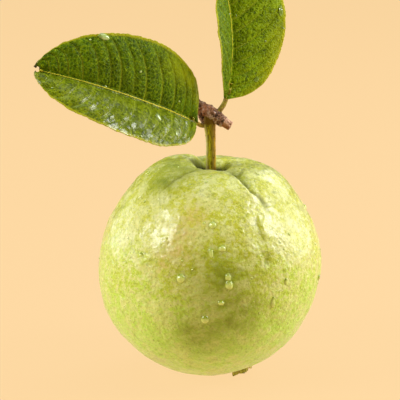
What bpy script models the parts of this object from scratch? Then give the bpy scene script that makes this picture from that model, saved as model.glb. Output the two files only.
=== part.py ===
"""A guava as picked: one fruit with its stalk, a short piece of twig and two leaves.

The fruit stands on a small flat spot. The origin is the centre of that spot and +Z runs up
along the stalk. Sizes are millimetres and angles are degrees, and they turn into metres and
radians as the meshes are made. A tilt is measured from straight up, a heading from +X.
"""

import math

import bmesh
import bpy
from mathutils import Vector

MM = 0.001

# Fruit: a ball with square shoulders, cut flat where it rests.
FRUIT_RADIUS = 45.0
REST_RADIUS = 8.5
FRUIT_CENTRE_Z = math.sqrt(FRUIT_RADIUS**2 - REST_RADIUS**2)
SHOULDER_RISE = 1.9
SHOULDER_TILT = 32.0
SHOULDER_SPREAD = 14.0
LEAN = 1.0  # how far the upper part stands to +X of the flat spot
LEAN_HEIGHTS = (-20.0, 10.0)  # the body bends between these heights about its centre
FRUIT_SEGMENTS = 56
FRUIT_RINGS = 30
POLE_CROWDING = 0.5  # how much closer the rings lie near the two poles

# Stem cavity: a wide funnel with a narrow hole in it, and one taller lobe beside it.
FUNNEL_DEPTH = 3.6
FUNNEL_SPREAD = 20.0
HOLE_DEPTH = 7.0
HOLE_SPREAD = 9.0
CAVITY_TILT = 1.0  # of the cavity's own axis towards +X
TALL_LOBE_RISE = 2.4
TALL_LOBE_SPREAD = 11.0
TALL_LOBE_PLACE = (16.0, 160.0)  # tilt and heading
LOBE_EDGE_TILTS = (6.0, 13.0)  # the taller lobe fades out between these, towards the hole

# Furrows between the lobes: heading at the cavity, heading at the far end, depth, tilt where it ends.
FURROWS = [
    (-62.0, -49.0, 1.5, 50.0),
    (-118.0, -134.0, 0.9, 46.0),
    (14.0, 20.0, 1.2, 36.0),
    (107.0, 107.0, 1.1, 36.0),
    (172.0, 172.0, 0.5, 32.0),
]
FURROW_WIDTH = 4.0
FURROW_FOOT_TILTS = (5.0, 15.0)  # a furrow deepens between these
FURROW_START_TILT = 9.0
FURROW_FADE = 0.3  # share of its length after which it gets shallower

# Calyx: the dried crown on the end opposite the stalk, low on the +X and -Y side.
CALYX_TILT = 159.5
CALYX_HEADING = -27.0
DIMPLE_DEPTH = 1.6
DIMPLE_SPREAD = 8.0
DISC_RADIUS = 3.0
DISC_THICKNESS = 0.8
DISC_FOOT_HEIGHT = 0.45  # above the middle of the dimple, as is the sepals' foot
DISC_EDGE_RADIUS = 0.2
SEPAL_RING_RADIUS = 3.4
SEPAL_FOOT_HEIGHT = 0.85
SEPAL_THICKNESS = 0.45
SEPAL_KEEL = 0.3  # how far its middle stands back from its edges, as a share of the thickness
SEPAL_POINT = 1.6  # how fast it narrows: a larger number keeps it broad for longer
SEPAL_TIP_HALF_WIDTH = 0.15
SEPAL_STEPS = 6
# Each sepal: heading round the calyx, length, half width, and how far it leans off the calyx axis
# at its foot and at its tip (negative leans inwards, over the disc).
SEPALS = [
    (-112.0, 2.8, 2.0, 15.0, 95.0),
    (-50.0, 2.9, 2.0, 20.0, 80.0),
    (20.0, 2.4, 1.8, 30.0, 100.0),
    (94.0, 2.6, 1.9, 25.0, 90.0),
    (170.0, 2.9, 1.8, -30.0, -130.0),
]

# Stalk, twig and side shoot: points of the centre line, with the radius there.
STALK = [
    (1.1, 0.0, 80.2, 2.3),
    (1.1, 0.0, 82.0, 2.05),
    (1.1, 0.0, 88.0, 1.9),
    (1.0, 0.0, 95.0, 1.95),
    (0.7, 0.0, 99.5, 2.1),
    (0.7, 0.0, 102.1, 2.2),
]
TWIG = [
    (-9.5, 4.6, 112.4, 1.9),
    (-7.1, 3.7, 110.9, 1.95),
    (-3.9, 2.3, 109.1, 2.05),
    (-1.0, 1.0, 107.4, 2.2),
    (2.4, 0.0, 105.5, 2.25),
    (5.7, -0.7, 103.4, 2.05),
    (9.1, -1.4, 101.4, 1.95),
]
SIDE_SHOOT = [
    (-2.4, -0.2, 104.0, 0.9),
    (-2.9, -0.5, 105.2, 0.85),
    (-3.6, -0.9, 107.0, 0.8),
    (-4.7, -1.1, 110.0, 0.75),
    (-6.0, -1.0, 112.6, 0.6),
]

# Leaves: petiole and spine points, the way the open side of the fold faces, the petiole's radius at
# its two ends, the share of the length where the blade is widest, and its two halves, the lower or
# left one first. A half has its width, how far it folds up at the base and at the tip, and how
# pointed its outline is at the base and at the tip.
LEFT_LEAF = {
    "petiole": [(-2.0, -0.4, 101.6), (-3.3, -1.5, 102.0), (-4.9, -3.6, 103.4)],
    "spine": [
        (-4.9, -3.6, 103.4),
        (-16.0, -17.0, 110.8),
        (-32.1, -29.5, 119.0),
        (-48.0, -37.0, 125.3),
        (-65.8, -39.0, 130.2),
    ],
    "facing": (0.0, -0.976, 0.216),
    "petiole_radius": (1.15, 0.75),
    "widest": 0.41,
    "halves": [
        {"width": 20.5, "fold": (47.5, 37.5), "pointed": (0.66, 0.76)},
        {"width": 23.4, "fold": (-2.5, 2.5), "pointed": (0.5, 0.6)},
    ],
}
RIGHT_LEAF = {
    "petiole": [(4.9, 0.2, 107.9), (6.4, 0.2, 110.2), (7.3, 0.5, 112.6)],
    "spine": [
        (7.3, 0.5, 112.6),
        (9.4, 4.0, 127.2),
        (9.0, 6.5, 142.6),
        (5.9, 6.5, 160.0),
        (-0.3, 2.0, 184.0),
    ],
    "facing": (0.0, -0.976, 0.216),
    "petiole_radius": (1.05, 0.8),
    "widest": 0.5,
    "halves": [
        {"width": 23.5, "fold": (79.0, 73.0), "pointed": (0.52, 0.78)},
        {"width": 24.0, "fold": (-24.5, -15.5), "pointed": (0.61, 0.78)},
    ],
}
BLADE_THICKNESS = 0.6
BLADE_BULGE = 1.2  # how far each half arches up between midrib and edge
BLADE_BASE_POWER = 1.5
BLADE_TIP_POWER = 2.0
BLADE_LEAST_HALF_WIDTH = 0.3
MIDRIB_HEIGHT = (1.0, 0.15)  # under the blade, at the base and at the tip
MIDRIB_HALF_WIDTH = 1.2
BLADE_SPAN = (0.02, 0.998)  # shares of the spine where the blade's solid starts and ends
BLADE_END_CROWDING = 0.6
BLADE_STATIONS = 26
BLADE_SAMPLES = 11  # across one face of the blade
PETIOLE_STATIONS = 5

SKIN_COLOUR = (0.48, 0.55, 0.12)
STALK_COLOUR = (0.25, 0.18, 0.02)
BARK_COLOUR = (0.22, 0.12, 0.06)
LEAF_COLOUR = (0.09, 0.15, 0.01)
CALYX_COLOUR = (0.12, 0.08, 0.03)


# --- small helpers ---------------------------------------------------------------------------


def clamp(value, low=0.0, high=1.0):
    return min(max(value, low), high)


def mix(low, high, share):
    return low + (high - low) * share


def ease(low, high, value):
    """Smooth step from 0 at low to 1 at high."""
    share = clamp((value - low) / (high - low))
    return share * share * (3.0 - 2.0 * share)


def bell(distance, spread, power=2.0):
    """1 at no distance, falling smoothly to 0; a higher power gives a flatter top."""
    return math.exp(-((abs(distance) / spread) ** power))


def crowd_ends(share, amount):
    """Share from 0 to 1 that moves slower near both ends."""
    return share - amount * math.sin(math.tau * share) / math.tau


def direction_at(tilt, heading):
    tilt = math.radians(tilt)
    heading = math.radians(heading)
    level = math.sin(tilt)
    return Vector((level * math.cos(heading), level * math.sin(heading), math.cos(tilt)))


def heading_of(direction):
    return math.degrees(math.atan2(direction.y, direction.x))


def angle_between(first, second):
    return math.degrees(first.angle(second))


def link(name, data):
    """New object for a mesh or curve, in the scene."""
    solid = bpy.data.objects.new(name, data)
    bpy.context.scene.collection.objects.link(solid)
    return solid


# --- fruit -----------------------------------------------------------------------------------


def furrow_depth(tilt, heading):
    """How deep all furrows together cut in at a tilt and heading."""
    depth = 0.0
    for near, far, deepest, end in FURROWS:
        along = clamp((tilt - FURROW_START_TILT) / (end - FURROW_START_TILT))
        turn = (heading - mix(near, far, along) + 180.0) % 360.0 - 180.0
        sideways = math.radians(turn) * math.sin(math.radians(tilt)) * FRUIT_RADIUS
        strength = ease(*FURROW_FOOT_TILTS, tilt) * (1.0 - ease(FURROW_FADE, 1.0, along))
        depth += deepest * strength * bell(sideways, FURROW_WIDTH)
    return depth


def skin_radius(direction):
    """Distance from the fruit's centre to its skin along a unit direction."""
    tilt = angle_between(direction, direction_at(CAVITY_TILT, 0.0))
    lobe = angle_between(direction, direction_at(*TALL_LOBE_PLACE))
    calyx = angle_between(direction, direction_at(CALYX_TILT, CALYX_HEADING))
    radius = FRUIT_RADIUS + SHOULDER_RISE * bell(tilt - SHOULDER_TILT, SHOULDER_SPREAD)
    radius += TALL_LOBE_RISE * bell(lobe, TALL_LOBE_SPREAD) * ease(*LOBE_EDGE_TILTS, tilt)
    radius -= FUNNEL_DEPTH * bell(tilt, FUNNEL_SPREAD)
    radius -= HOLE_DEPTH * bell(tilt, HOLE_SPREAD, 4.0)
    radius -= furrow_depth(tilt, heading_of(direction))
    radius -= DIMPLE_DEPTH * bell(calyx, DIMPLE_SPREAD)
    return radius


def skin_point(direction):
    point = direction * skin_radius(direction)
    point.x += LEAN * ease(*LEAN_HEIGHTS, point.z)
    point.z += FRUIT_CENTRE_Z
    return point


def cut_flat_spot(mesh):
    """Slice the body off at the ground plane, which leaves the flat spot it rests on."""
    bm = bmesh.new()
    bm.from_mesh(mesh)
    everything = bm.verts[:] + bm.edges[:] + bm.faces[:]
    bmesh.ops.bisect_plane(bm, geom=everything, dist=1e-7, plane_no=(0, 0, -1), clear_outer=True)
    rim = [edge for edge in bm.edges if edge.is_boundary]
    bmesh.ops.holes_fill(bm, edges=rim, sides=0)
    bmesh.ops.recalc_face_normals(bm, faces=bm.faces[:])
    bm.to_mesh(mesh)
    bm.free()


def build_fruit():
    """A sphere whose points are moved out to the skin, with more rings at the cavity and calyx."""
    bpy.ops.mesh.primitive_uv_sphere_add(segments=FRUIT_SEGMENTS, ring_count=FRUIT_RINGS, radius=1.0)
    fruit = bpy.context.object
    for vertex in fruit.data.vertices:
        share = math.acos(clamp(vertex.co.z, -1.0, 1.0)) / math.pi
        tilt = 180.0 * crowd_ends(share, POLE_CROWDING)
        vertex.co = skin_point(direction_at(tilt, heading_of(vertex.co))) * MM
    cut_flat_spot(fruit.data)
    return fruit


# --- stalk, twig and side shoot --------------------------------------------------------------


def build_rod(name, points, roundness=3):
    """A tube through the points, each with its own radius, closed at both ends."""
    curve = bpy.data.curves.new(name, "CURVE")
    curve.dimensions = "3D"
    curve.bevel_depth = MM
    curve.bevel_resolution = roundness
    curve.use_fill_caps = True
    spline = curve.splines.new("POLY")
    spline.points.add(len(points) - 1)
    for place, (x, y, z, radius) in zip(spline.points, points):
        place.co = (x * MM, y * MM, z * MM, 1.0)
        place.radius = radius
    return link(name, curve)


# --- leaves ----------------------------------------------------------------------------------


def path_point(points, share):
    """Point on a smooth curve through the points (Catmull-Rom)."""
    place = clamp(share) * (len(points) - 1)
    index = min(int(place), len(points) - 2)
    t = place - index
    here = points[index]
    there = points[index + 1]
    before = points[index - 1] if index > 0 else here * 2.0 - there
    after = points[index + 2] if index + 2 < len(points) else there * 2.0 - here
    linear = (there - before) * 0.5
    square = before - here * 2.5 + there * 2.0 - after * 0.5
    cube = (after - before) * 0.5 + (here - there) * 1.5
    return here + linear * t + square * t**2 + cube * t**3


def path_frame(points, share, facing):
    """Sideways and face directions across a path, the face as near to facing as it can be."""
    step = 0.01
    tangent = (path_point(points, share + step) - path_point(points, share - step)).normalized()
    face = (facing - tangent * facing.dot(tangent)).normalized()
    return tangent.cross(face), face


def half_width(leaf, half, along):
    """Half width of the blade at a share of its length."""
    widest = leaf["widest"]
    base_pointed, tip_pointed = half["pointed"]
    if along < widest:
        swell = 1.0 - ((widest - along) / widest) ** BLADE_BASE_POWER
        return half["width"] * swell**base_pointed
    swell = 1.0 - ((along - widest) / (1.0 - widest)) ** BLADE_TIP_POWER
    return half["width"] * swell**tip_pointed


def blade_point(leaf, along, across):
    """Point on the upper face: along runs from base to tip and across from -1 to 1."""
    half = leaf["halves"][1 if across > 0 else 0]
    sideways, face = path_frame(leaf["spine"], along, leaf["facing"])
    sideways = sideways * math.copysign(1.0, across)
    fold = math.radians(mix(*half["fold"], along))
    outwards = sideways * math.cos(fold) + face * math.sin(fold)
    upwards = face * math.cos(fold) - sideways * math.sin(fold)
    width = max(half_width(leaf, half, along), BLADE_LEAST_HALF_WIDTH)
    bulge = BLADE_BULGE * math.sin(math.pi * abs(across)) * width / half["width"]
    return path_point(leaf["spine"], along) + outwards * (abs(across) * width) + upwards * bulge


def blade_normal(leaf, along, across):
    """Direction out of the upper face, from four points close by."""
    step = 0.01
    across = clamp(across, step - 1.0, 1.0 - step)
    lengthwise = blade_point(leaf, along + step, across) - blade_point(leaf, along - step, across)
    crosswise = blade_point(leaf, along, across + step) - blade_point(leaf, along, across - step)
    return lengthwise.cross(crosswise).normalized() * -1.0


def blade_ring(leaf, along):
    """Closed section of the blade: the upper face from side to side, then the lower face back."""
    top = []
    bottom = []
    step = 0.01
    for sample in range(BLADE_SAMPLES):
        across = -1.0 + 2.0 * sample / (BLADE_SAMPLES - 1)
        half = leaf["halves"][1 if across > 0 else 0]
        offset = across * half_width(leaf, half, along)
        rib = mix(*MIDRIB_HEIGHT, along) * bell(offset, MIDRIB_HALF_WIDTH)
        down = blade_normal(leaf, clamp(along, step, 1.0 - step), across) * -(BLADE_THICKNESS + rib)
        place = blade_point(leaf, along, across)
        top.append(place)
        bottom.append(place + down)
    return top + bottom[::-1]


def petiole_ring(leaf, share):
    """Round section of the leaf's stalk, with its points in the same order as a blade section."""
    sideways, face = path_frame(leaf["petiole"], share, leaf["facing"])
    centre = path_point(leaf["petiole"], share)
    radius = mix(*leaf["petiole_radius"], share)
    ring = []
    for sample in range(2 * BLADE_SAMPLES):
        turn = math.pi * (1.0 - (sample + 0.5) / BLADE_SAMPLES)
        ring.append(centre + (sideways * math.cos(turn) + face * math.sin(turn)) * radius)
    return ring


def loft(name, rings):
    """Skin a list of rings that have the same number of points, and close both ends."""
    bm = bmesh.new()
    rows = [[bm.verts.new(point * MM) for point in ring] for ring in rings]
    for row, following in zip(rows, rows[1:]):
        for here in range(len(row)):
            there = (here + 1) % len(row)
            bm.faces.new((row[here], row[there], following[there], following[here]))
    bm.faces.new(rows[0][::-1])
    bm.faces.new(rows[-1])
    bmesh.ops.recalc_face_normals(bm, faces=bm.faces[:])
    mesh = bpy.data.meshes.new(name)
    bm.to_mesh(mesh)
    bm.free()
    return link(name, mesh)


def build_leaf(name, shape):
    """One loft that starts as a round petiole and goes on as the folded blade with its midrib."""
    leaf = dict(shape, facing=Vector(shape["facing"]))
    for path in ("petiole", "spine"):
        leaf[path] = [Vector(point) for point in shape[path]]
    rings = [petiole_ring(leaf, station / PETIOLE_STATIONS) for station in range(PETIOLE_STATIONS)]
    for station in range(BLADE_STATIONS + 1):
        along = crowd_ends(station / BLADE_STATIONS, BLADE_END_CROWDING)
        rings.append(blade_ring(leaf, mix(*BLADE_SPAN, along)))
    return loft(name, rings)


# --- calyx -----------------------------------------------------------------------------------


def calyx_frame():
    """The middle of the dimple, two directions along the skin there and the one out of it."""
    out = direction_at(CALYX_TILT, CALYX_HEADING)
    level = Vector((0.0, 0.0, 1.0)).cross(out).normalized()
    uphill = out.cross(level)
    return skin_point(out), uphill, level, out


def build_disc():
    """The dried disc in the middle of the calyx, a flat round button in the dimple."""
    centre, _, _, out = calyx_frame()
    bpy.ops.mesh.primitive_cylinder_add(vertices=24, radius=DISC_RADIUS * MM, depth=DISC_THICKNESS * MM)
    disc = bpy.context.object
    disc.location = (centre + out * (DISC_FOOT_HEIGHT + 0.5 * DISC_THICKNESS)) * MM
    disc.rotation_euler = out.to_track_quat("Z", "Y").to_euler()
    bevel = disc.modifiers.new("rounded rim", "BEVEL")
    bevel.width = DISC_EDGE_RADIUS * MM
    bevel.segments = 2
    return disc


def build_sepal(name, heading, length, half, foot_lean, tip_lean):
    """A thin pointed scale that stands on the edge of the calyx and curls outwards or inwards."""
    centre, uphill, level, out = calyx_frame()
    turn = math.radians(heading)
    radial = uphill * math.cos(turn) + level * math.sin(turn)
    side = out.cross(radial)
    place = centre + radial * SEPAL_RING_RADIUS + out * SEPAL_FOOT_HEIGHT
    rings = []
    for step in range(SEPAL_STEPS + 1):
        share = step / SEPAL_STEPS
        lean = math.radians(mix(foot_lean, tip_lean, share))
        back = (radial * math.cos(lean) - out * math.sin(lean)) * SEPAL_THICKNESS
        edge = side * max(half * (1.0 - share**SEPAL_POINT), SEPAL_TIP_HALF_WIDTH)
        inner = [place + edge, place + back * SEPAL_KEEL, place - edge]
        rings.append(inner + [point + back for point in inner[::-1]])
        place = place + (out * math.cos(lean) + radial * math.sin(lean)) * (length / SEPAL_STEPS)
    return loft(name, rings)


# --- putting it together ---------------------------------------------------------------------


def clear_scene():
    for old in list(bpy.data.objects):
        bpy.data.objects.remove(old)


def make_material(name, colour, roughness):
    material = bpy.data.materials.new(name)
    material.use_nodes = True
    shader = material.node_tree.nodes["Principled BSDF"]
    shader.inputs["Base Color"].default_value = (*colour, 1.0)
    shader.inputs["Roughness"].default_value = roughness
    shader.inputs["Metallic"].default_value = 0.0
    return material


def finish(solid, name, material, collection):
    """Name a piece, give it its material and move it into the guava's collection."""
    solid.name = name
    solid.data.name = name
    solid.data.materials.clear()
    solid.data.materials.append(material)
    for holder in list(solid.users_collection):
        holder.objects.unlink(solid)
    collection.objects.link(solid)
    if solid.type == "MESH":
        solid.data.shade_smooth()
        solid.data.set_sharp_from_angle(angle=math.radians(50.0))


def main():
    clear_scene()
    guava = bpy.data.collections.new("guava")
    bpy.context.scene.collection.children.link(guava)
    skin = make_material("skin", SKIN_COLOUR, 0.35)
    stalk = make_material("stalk", STALK_COLOUR, 0.6)
    bark = make_material("bark", BARK_COLOUR, 0.85)
    leaf = make_material("leaf", LEAF_COLOUR, 0.4)
    calyx = make_material("calyx", CALYX_COLOUR, 0.8)
    finish(build_fruit(), "fruit", skin, guava)
    finish(build_rod("fruit_stalk", STALK), "fruit_stalk", stalk, guava)
    finish(build_rod("twig", TWIG), "twig", bark, guava)
    finish(build_rod("side_shoot", SIDE_SHOOT, roundness=1), "side_shoot", bark, guava)
    finish(build_leaf("left_leaf", LEFT_LEAF), "left_leaf", leaf, guava)
    finish(build_leaf("right_leaf", RIGHT_LEAF), "right_leaf", leaf, guava)
    finish(build_disc(), "flower_disc", calyx, guava)
    for number, shape in enumerate(SEPALS, start=1):
        name = "sepal_" + str(number)
        finish(build_sepal(name, *shape), name, calyx, guava)


if __name__ == "__main__":
    main()
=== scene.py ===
"""Finished look of a picked guava: a wet fruit on its stalk, a piece of twig and two leaves.

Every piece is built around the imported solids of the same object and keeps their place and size.
Constants are millimetres and degrees, settings are metres, and meshes are made in metres. A tilt
is measured from straight up and a heading from +X, both round the fruit's centre.
"""

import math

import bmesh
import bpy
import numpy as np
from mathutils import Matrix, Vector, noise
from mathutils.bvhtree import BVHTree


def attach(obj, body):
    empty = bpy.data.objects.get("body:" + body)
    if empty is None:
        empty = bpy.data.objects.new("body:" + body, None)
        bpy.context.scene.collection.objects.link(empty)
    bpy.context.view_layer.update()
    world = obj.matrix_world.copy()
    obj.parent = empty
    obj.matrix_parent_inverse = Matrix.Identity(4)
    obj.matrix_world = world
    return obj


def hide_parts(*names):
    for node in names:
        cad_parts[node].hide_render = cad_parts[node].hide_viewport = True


bl_info = {
    "name": "Guava",
    "version": (1, 0, 0),
    "blender": (4, 5, 0),
    "location": "View3D > Sidebar > Guava",
    "description": "Builds a wet guava with stalk, twig and leaves around its packed solids",
    "category": "Add Mesh",
}

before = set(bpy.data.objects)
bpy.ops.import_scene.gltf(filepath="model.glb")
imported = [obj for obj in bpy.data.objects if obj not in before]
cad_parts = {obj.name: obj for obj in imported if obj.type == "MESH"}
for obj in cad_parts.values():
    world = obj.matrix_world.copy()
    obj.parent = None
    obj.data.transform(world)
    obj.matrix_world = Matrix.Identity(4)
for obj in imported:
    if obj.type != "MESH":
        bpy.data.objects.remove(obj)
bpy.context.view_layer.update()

MM = 0.001

# Fruit: a ball with square shoulders that stands on a flat spot. The body bends a little to +X.
FRUIT_RADIUS = 45.0
REST_RADIUS = 8.5
FRUIT_CENTRE_Z = math.sqrt(FRUIT_RADIUS**2 - REST_RADIUS**2)
SHOULDER_RISE = 1.9
SHOULDER_TILT = 32.0
SHOULDER_SPREAD = 14.0
LEAN = 1.0
LEAN_HEIGHTS = (-20.0, 10.0)
SPHERE_CUTS = 127
REST_SOFTNESS = 0.3  # how gently the skin rolls into the flat spot

# Stem cavity: a wide funnel, a narrow hole in it, and one taller lobe with a rolled lip.
FUNNEL_DEPTH = 3.6
FUNNEL_SPREAD = 20.0
HOLE_DEPTH = 7.0
HOLE_SPREAD = 9.0
CAVITY_TILT = 1.0
FUNNEL_SHADE = 0.9  # painted shade: how much of the furrows' darker green the cavity's wall takes with its depth
FUNNEL_SHADE_DEPTHS = (2.2, 4.5)
HOLLOW_DEPTHS = (4.3, 6.6)  # where painted shade starts to darken the cavity's wall, and where it is darkest
CALM_SPREAD = 1.35 * HOLE_SPREAD  # inside it the skin is smooth and dull
DRY_SPREAD = 2.0 * HOLE_SPREAD  # inside it there are no drops
DRY_TILTS = (112.0, 135.0)  # the underside is dry from the second one on
TALL_LOBE_RISE = 2.4
TALL_LOBE_SPREAD = 11.0
TALL_LOBE_PLACE = (16.0, 160.0)
LOBE_EDGE_TILTS = (6.0, 13.0)
LIP_PLACE = (12.5, 150.0)
LIP_RISE = 0.55
LIP_SPREAD = (4.0, 45.0)
LIP_SHADE_TILT = 9.4  # painted shade: the skin is darkened there, just inside the lip
LIP_SHADE_SPREAD = 2.4
RIM_FOLDS = 9
RIM_FOLD_HEIGHT = 0.28
RIM_FOLD_TILTS = (6.0, 12.0, 24.0)
RIM_FOLD_WANDER = 4.0  # in radians, how unevenly the folds follow each other
STEEP = 4.0  # power of a bell with steep sides and a flat top

# Broad furrows: heading at the cavity, heading at the far end, depth, tilt where it ends.
FURROWS = [
    (-62.0, -49.0, 1.5, 50.0),
    (-118.0, -134.0, 0.9, 46.0),
    (14.0, 20.0, 1.2, 36.0),
    (107.0, 107.0, 1.1, 36.0),
    (172.0, 172.0, 0.5, 32.0),
]
FURROW_WIDTH = 4.0
FURROW_FOOT_TILTS = (5.0, 15.0)
FURROW_START_TILT = 9.0
FURROW_FADE = 0.3

# Sharp creases in the skin: places they run through as (tilt, heading), depth, half width, and the
# height of the lip along their right-hand side, going outwards.
CREASES = [
    ([(14, 97), (12.2, 118), (10.6, 133), (11.5, 152), (14, 168)], 0.5, 0.5, 0.0),
    ([(12, -50), (20, -58), (26, -58), (32, -57.5), (38, -57), (44, -53), (50, -51), (54, -42)],
     1.2, 1.0, 0.5),
    ([(44, -53), (47, -50), (49.5, -43)], 0.35, 0.6, 0.0),
    ([(27, -57), (22, -44), (18, -22)], 0.5, 0.6, 0.25),
    ([(19, -26), (25, -36), (30, -35), (34, -28)], 0.35, 0.6, 0.0),
    ([(9, 37), (12, 41), (15, 37), (21, 30)], 1.3, 1.0, 0.4),
    ([(12, -118), (19, -119), (27, -124), (36, -128), (45, -133)], 0.5, 0.8, 0.3),
    ([(10, 108), (18, 107), (27, 106)], 0.5, 0.8, 0.3),
    ([(11, 176), (19, 174), (27, 171)], 0.35, 0.8, 0.2),
    ([(52, -60), (58, -62), (64, -60.5), (69, -61)], 0.3, 1.3, 0.0),
    ([(71, -58), (75, -60), (79, -59)], 0.35, 1.5, 0.0),
]
CREASE_STEPS = 14
CREASE_WANDER = 0.9  # how far a crease strays from its path
CREASE_START = (-0.02, 0.18)  # shares of its length over which it gets deep
CREASE_FADE = (0.6, 1.0)  # shares of its length over which it ends
CREASE_DARKNESS = 1.4  # painted shade in a crease, for each mm of its depth
LIP_SETBACK = 1.9
LIP_HALF_WIDTH = 1.7

# Dents a few millimetres across: (tilt, heading), depth, radius.
DENTS = [
    ((66, -61), 0.35, 3.2),
    ((76, -59), 0.4, 2.4),
    ((48, -73), 0.25, 3.5),
    ((60, -119), 0.25, 3.0),
    ((70, 60), 0.35, 3.5),
    ((95, 140), 0.3, 4.0),
    ((60, 170), 0.3, 3.0),
    ((115, 20), 0.3, 3.5),
]

# A faint brown rub mark: places as (tilt, heading) and radius.
RUB_MARK = [((52, -101), 5.0), ((60, -106), 5.5), ((69, -108), 5.5), ((75, -115), 4.5)]

# Deeper green areas, most of them painted shade: the left leaf's shadow on the shoulder and the darker
# front. Place as (tilt, heading) and radius.
SHADE_AREAS = [
    ((87, -86), 17.0),
    ((99, -80), 14.0),
    ((111, -95), 12.0),
    ((22, -155), 10.0),
    ((34, -136), 8.0),
    ((110, 100), 14.0),
    ((75, 40), 10.0),
]

# Calyx: the dried crown low on the +X and -Y side.
CALYX_TILT = 159.5
CALYX_HEADING = -27.0
DIMPLE_DEPTH = 1.6
DIMPLE_SPREAD = 8.0
DISC_RADIUS = 3.0
DISC_THICKNESS = 0.8
DISC_FOOT_HEIGHT = 0.45
SEPAL_RING_RADIUS = 3.4
SEPAL_FOOT_HEIGHT = 0.85
SEPAL_THICKNESS = 0.45
SEPAL_POINT = 2.6  # power of its outline: a higher one makes a blunter tip
SEPAL_STATIONS = 29
SEPAL_SAMPLES = 21
DISC_STATIONS = 40
DISC_SIDES = 60
STAMEN_RING = (0.86, 0.06)  # shares of the disc's radius: where filaments stand, and how it varies
STAMEN_FOOT_HEIGHT = 0.9
STAMEN_LEAN = 0.35

# Each sepal: heading round the calyx, length, half width, lean at its foot and at its tip.
SEPALS = [
    (-110.0, 3.2, 2.4, 14.0, 92.0),
    (-60.0, 2.9, 2.4, 20.0, 80.0),
    (12.0, 1.5, 1.7, -10.0, 40.0),
    (94.0, 2.3, 1.9, 20.0, 90.0),
    (170.0, 2.9, 1.8, -30.0, -130.0),
]

# Stalk, twig and side shoot: centre line points with the radius there.
STALK = [
    (1.1, 0.0, 79.6, 2.5),
    (1.1, 0.0, 82.0, 2.05),
    (1.1, 0.0, 88.0, 1.9),
    (1.0, 0.0, 95.0, 1.95),
    (0.7, 0.0, 99.5, 2.15),
    (0.5, 0.0, 102.6, 2.5),
    (0.4, 0.3, 105.4, 2.0),
]
TWIG = [
    (-9.5, 4.6, 112.4, 1.9),
    (-7.1, 3.7, 110.9, 1.95),
    (-3.9, 2.3, 109.1, 2.05),
    (-1.0, 1.0, 107.4, 2.2),
    (2.4, 0.0, 105.5, 2.25),
    (5.7, -0.7, 103.4, 2.05),
    (9.1, -1.4, 101.4, 1.95),
]
SIDE_SHOOT = [
    (-0.9, 0.0, 102.0, 1.3),
    (-2.6, -0.5, 104.6, 0.95),
    (-3.6, -0.9, 107.0, 0.8),
    (-4.7, -1.1, 110.0, 0.75),
    (-6.0, -1.0, 112.6, 0.6),
]
BARK_SHARE = 0.87  # of the twig's length that still has its bark
WOOD_OVERLAP = 0.05  # share of the length that the bared wood reaches back under the bark
# Stations along and points around each rod.
STALK_GRID = (150, 72)
BARK_GRID = (210, 84)
WOOD_GRID = (60, 60)
SHOOT_GRID = (90, 40)

# Leaves: petiole and spine points, the petiole's radius at its two ends, the depth of the notch in
# the tip, the share of the length where the blade is widest, the angle of the side veins to the
# midrib, and the two halves, the lower or left one first. A half has its width, how far its base
# reaches back past the petiole, its fold at the base and at the tip, how pointed its outline is at
# the base and at the tip, and its veins as (share of the spine, strength). The look of a leaf is
# given by the names of its colour settings, the first half's in "lower_tone", by the places across
# and along where the yellow glow starts and ends, and by the shine of its first half. Its drops are
# (share of the spine, place across from -1 to 1), width, length and slant.
LEAF_FACING = (0.0, -0.976, 0.216)
LEFT_LEAF = {
    "tone": "blade",
    "lower_tone": "blade_pale",
    "petiole_tones": ("petiole_gold", "petiole_brown"),
    "glow": (0.35, 0.45),
    "shine": 1.0,
    "seed": 3.0,
    "drops": [((0.345, -0.38), 2.3, 3.6, 0), ((0.70, 0.93), 2.6, 4.6, 70), ((0.25, -0.72), 1.3, 1.6, 0)],
    "drop_seed": 8,
    "petiole": [(-0.4, 0.3, 101.9), (-2.0, -0.4, 101.6), (-3.3, -1.5, 102.0), (-4.9, -3.6, 103.4)],
    "spine": [
        (-4.9, -3.6, 103.4),
        (-16.0, -17.0, 110.8),
        (-32.1, -29.5, 119.0),
        (-48.0, -37.0, 125.3),
        (-65.8, -39.0, 130.2),
    ],
    "petiole_radius": (1.15, 0.75),
    "notch": 2.0,
    "widest": 0.41,
    "vein_angle": 75.0,
    "halves": [
        {
            "width": 20.5,
            "lobe": 2.8,
            "fold": (47.5, 37.5),
            "pointed": (0.66, 0.56),
            "veins": [(0.06, 0.6), (0.13, 1), (0.225, 1), (0.3, 0.35), (0.355, 0.8), (0.44, 1), (0.49, 0.35),
                      (0.545, 0.9), (0.61, 0.4), (0.675, 1), (0.76, 0.8), (0.84, 0.8), (0.91, 0.6)],
        },
        {
            "width": 23.4,
            "lobe": 0.0,
            "fold": (-2.5, 2.5),
            "pointed": (0.5, 0.6),
            "veins": [(0.07, 0.7), (0.135, 0.9), (0.22, 1), (0.3, 1), (0.39, 1), (0.455, 0.45), (0.53, 1),
                      (0.59, 0.5), (0.66, 0.6), (0.745, 1), (0.82, 0.7), (0.87, 0.6), (0.92, 0.5)],
        },
    ],
}
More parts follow.
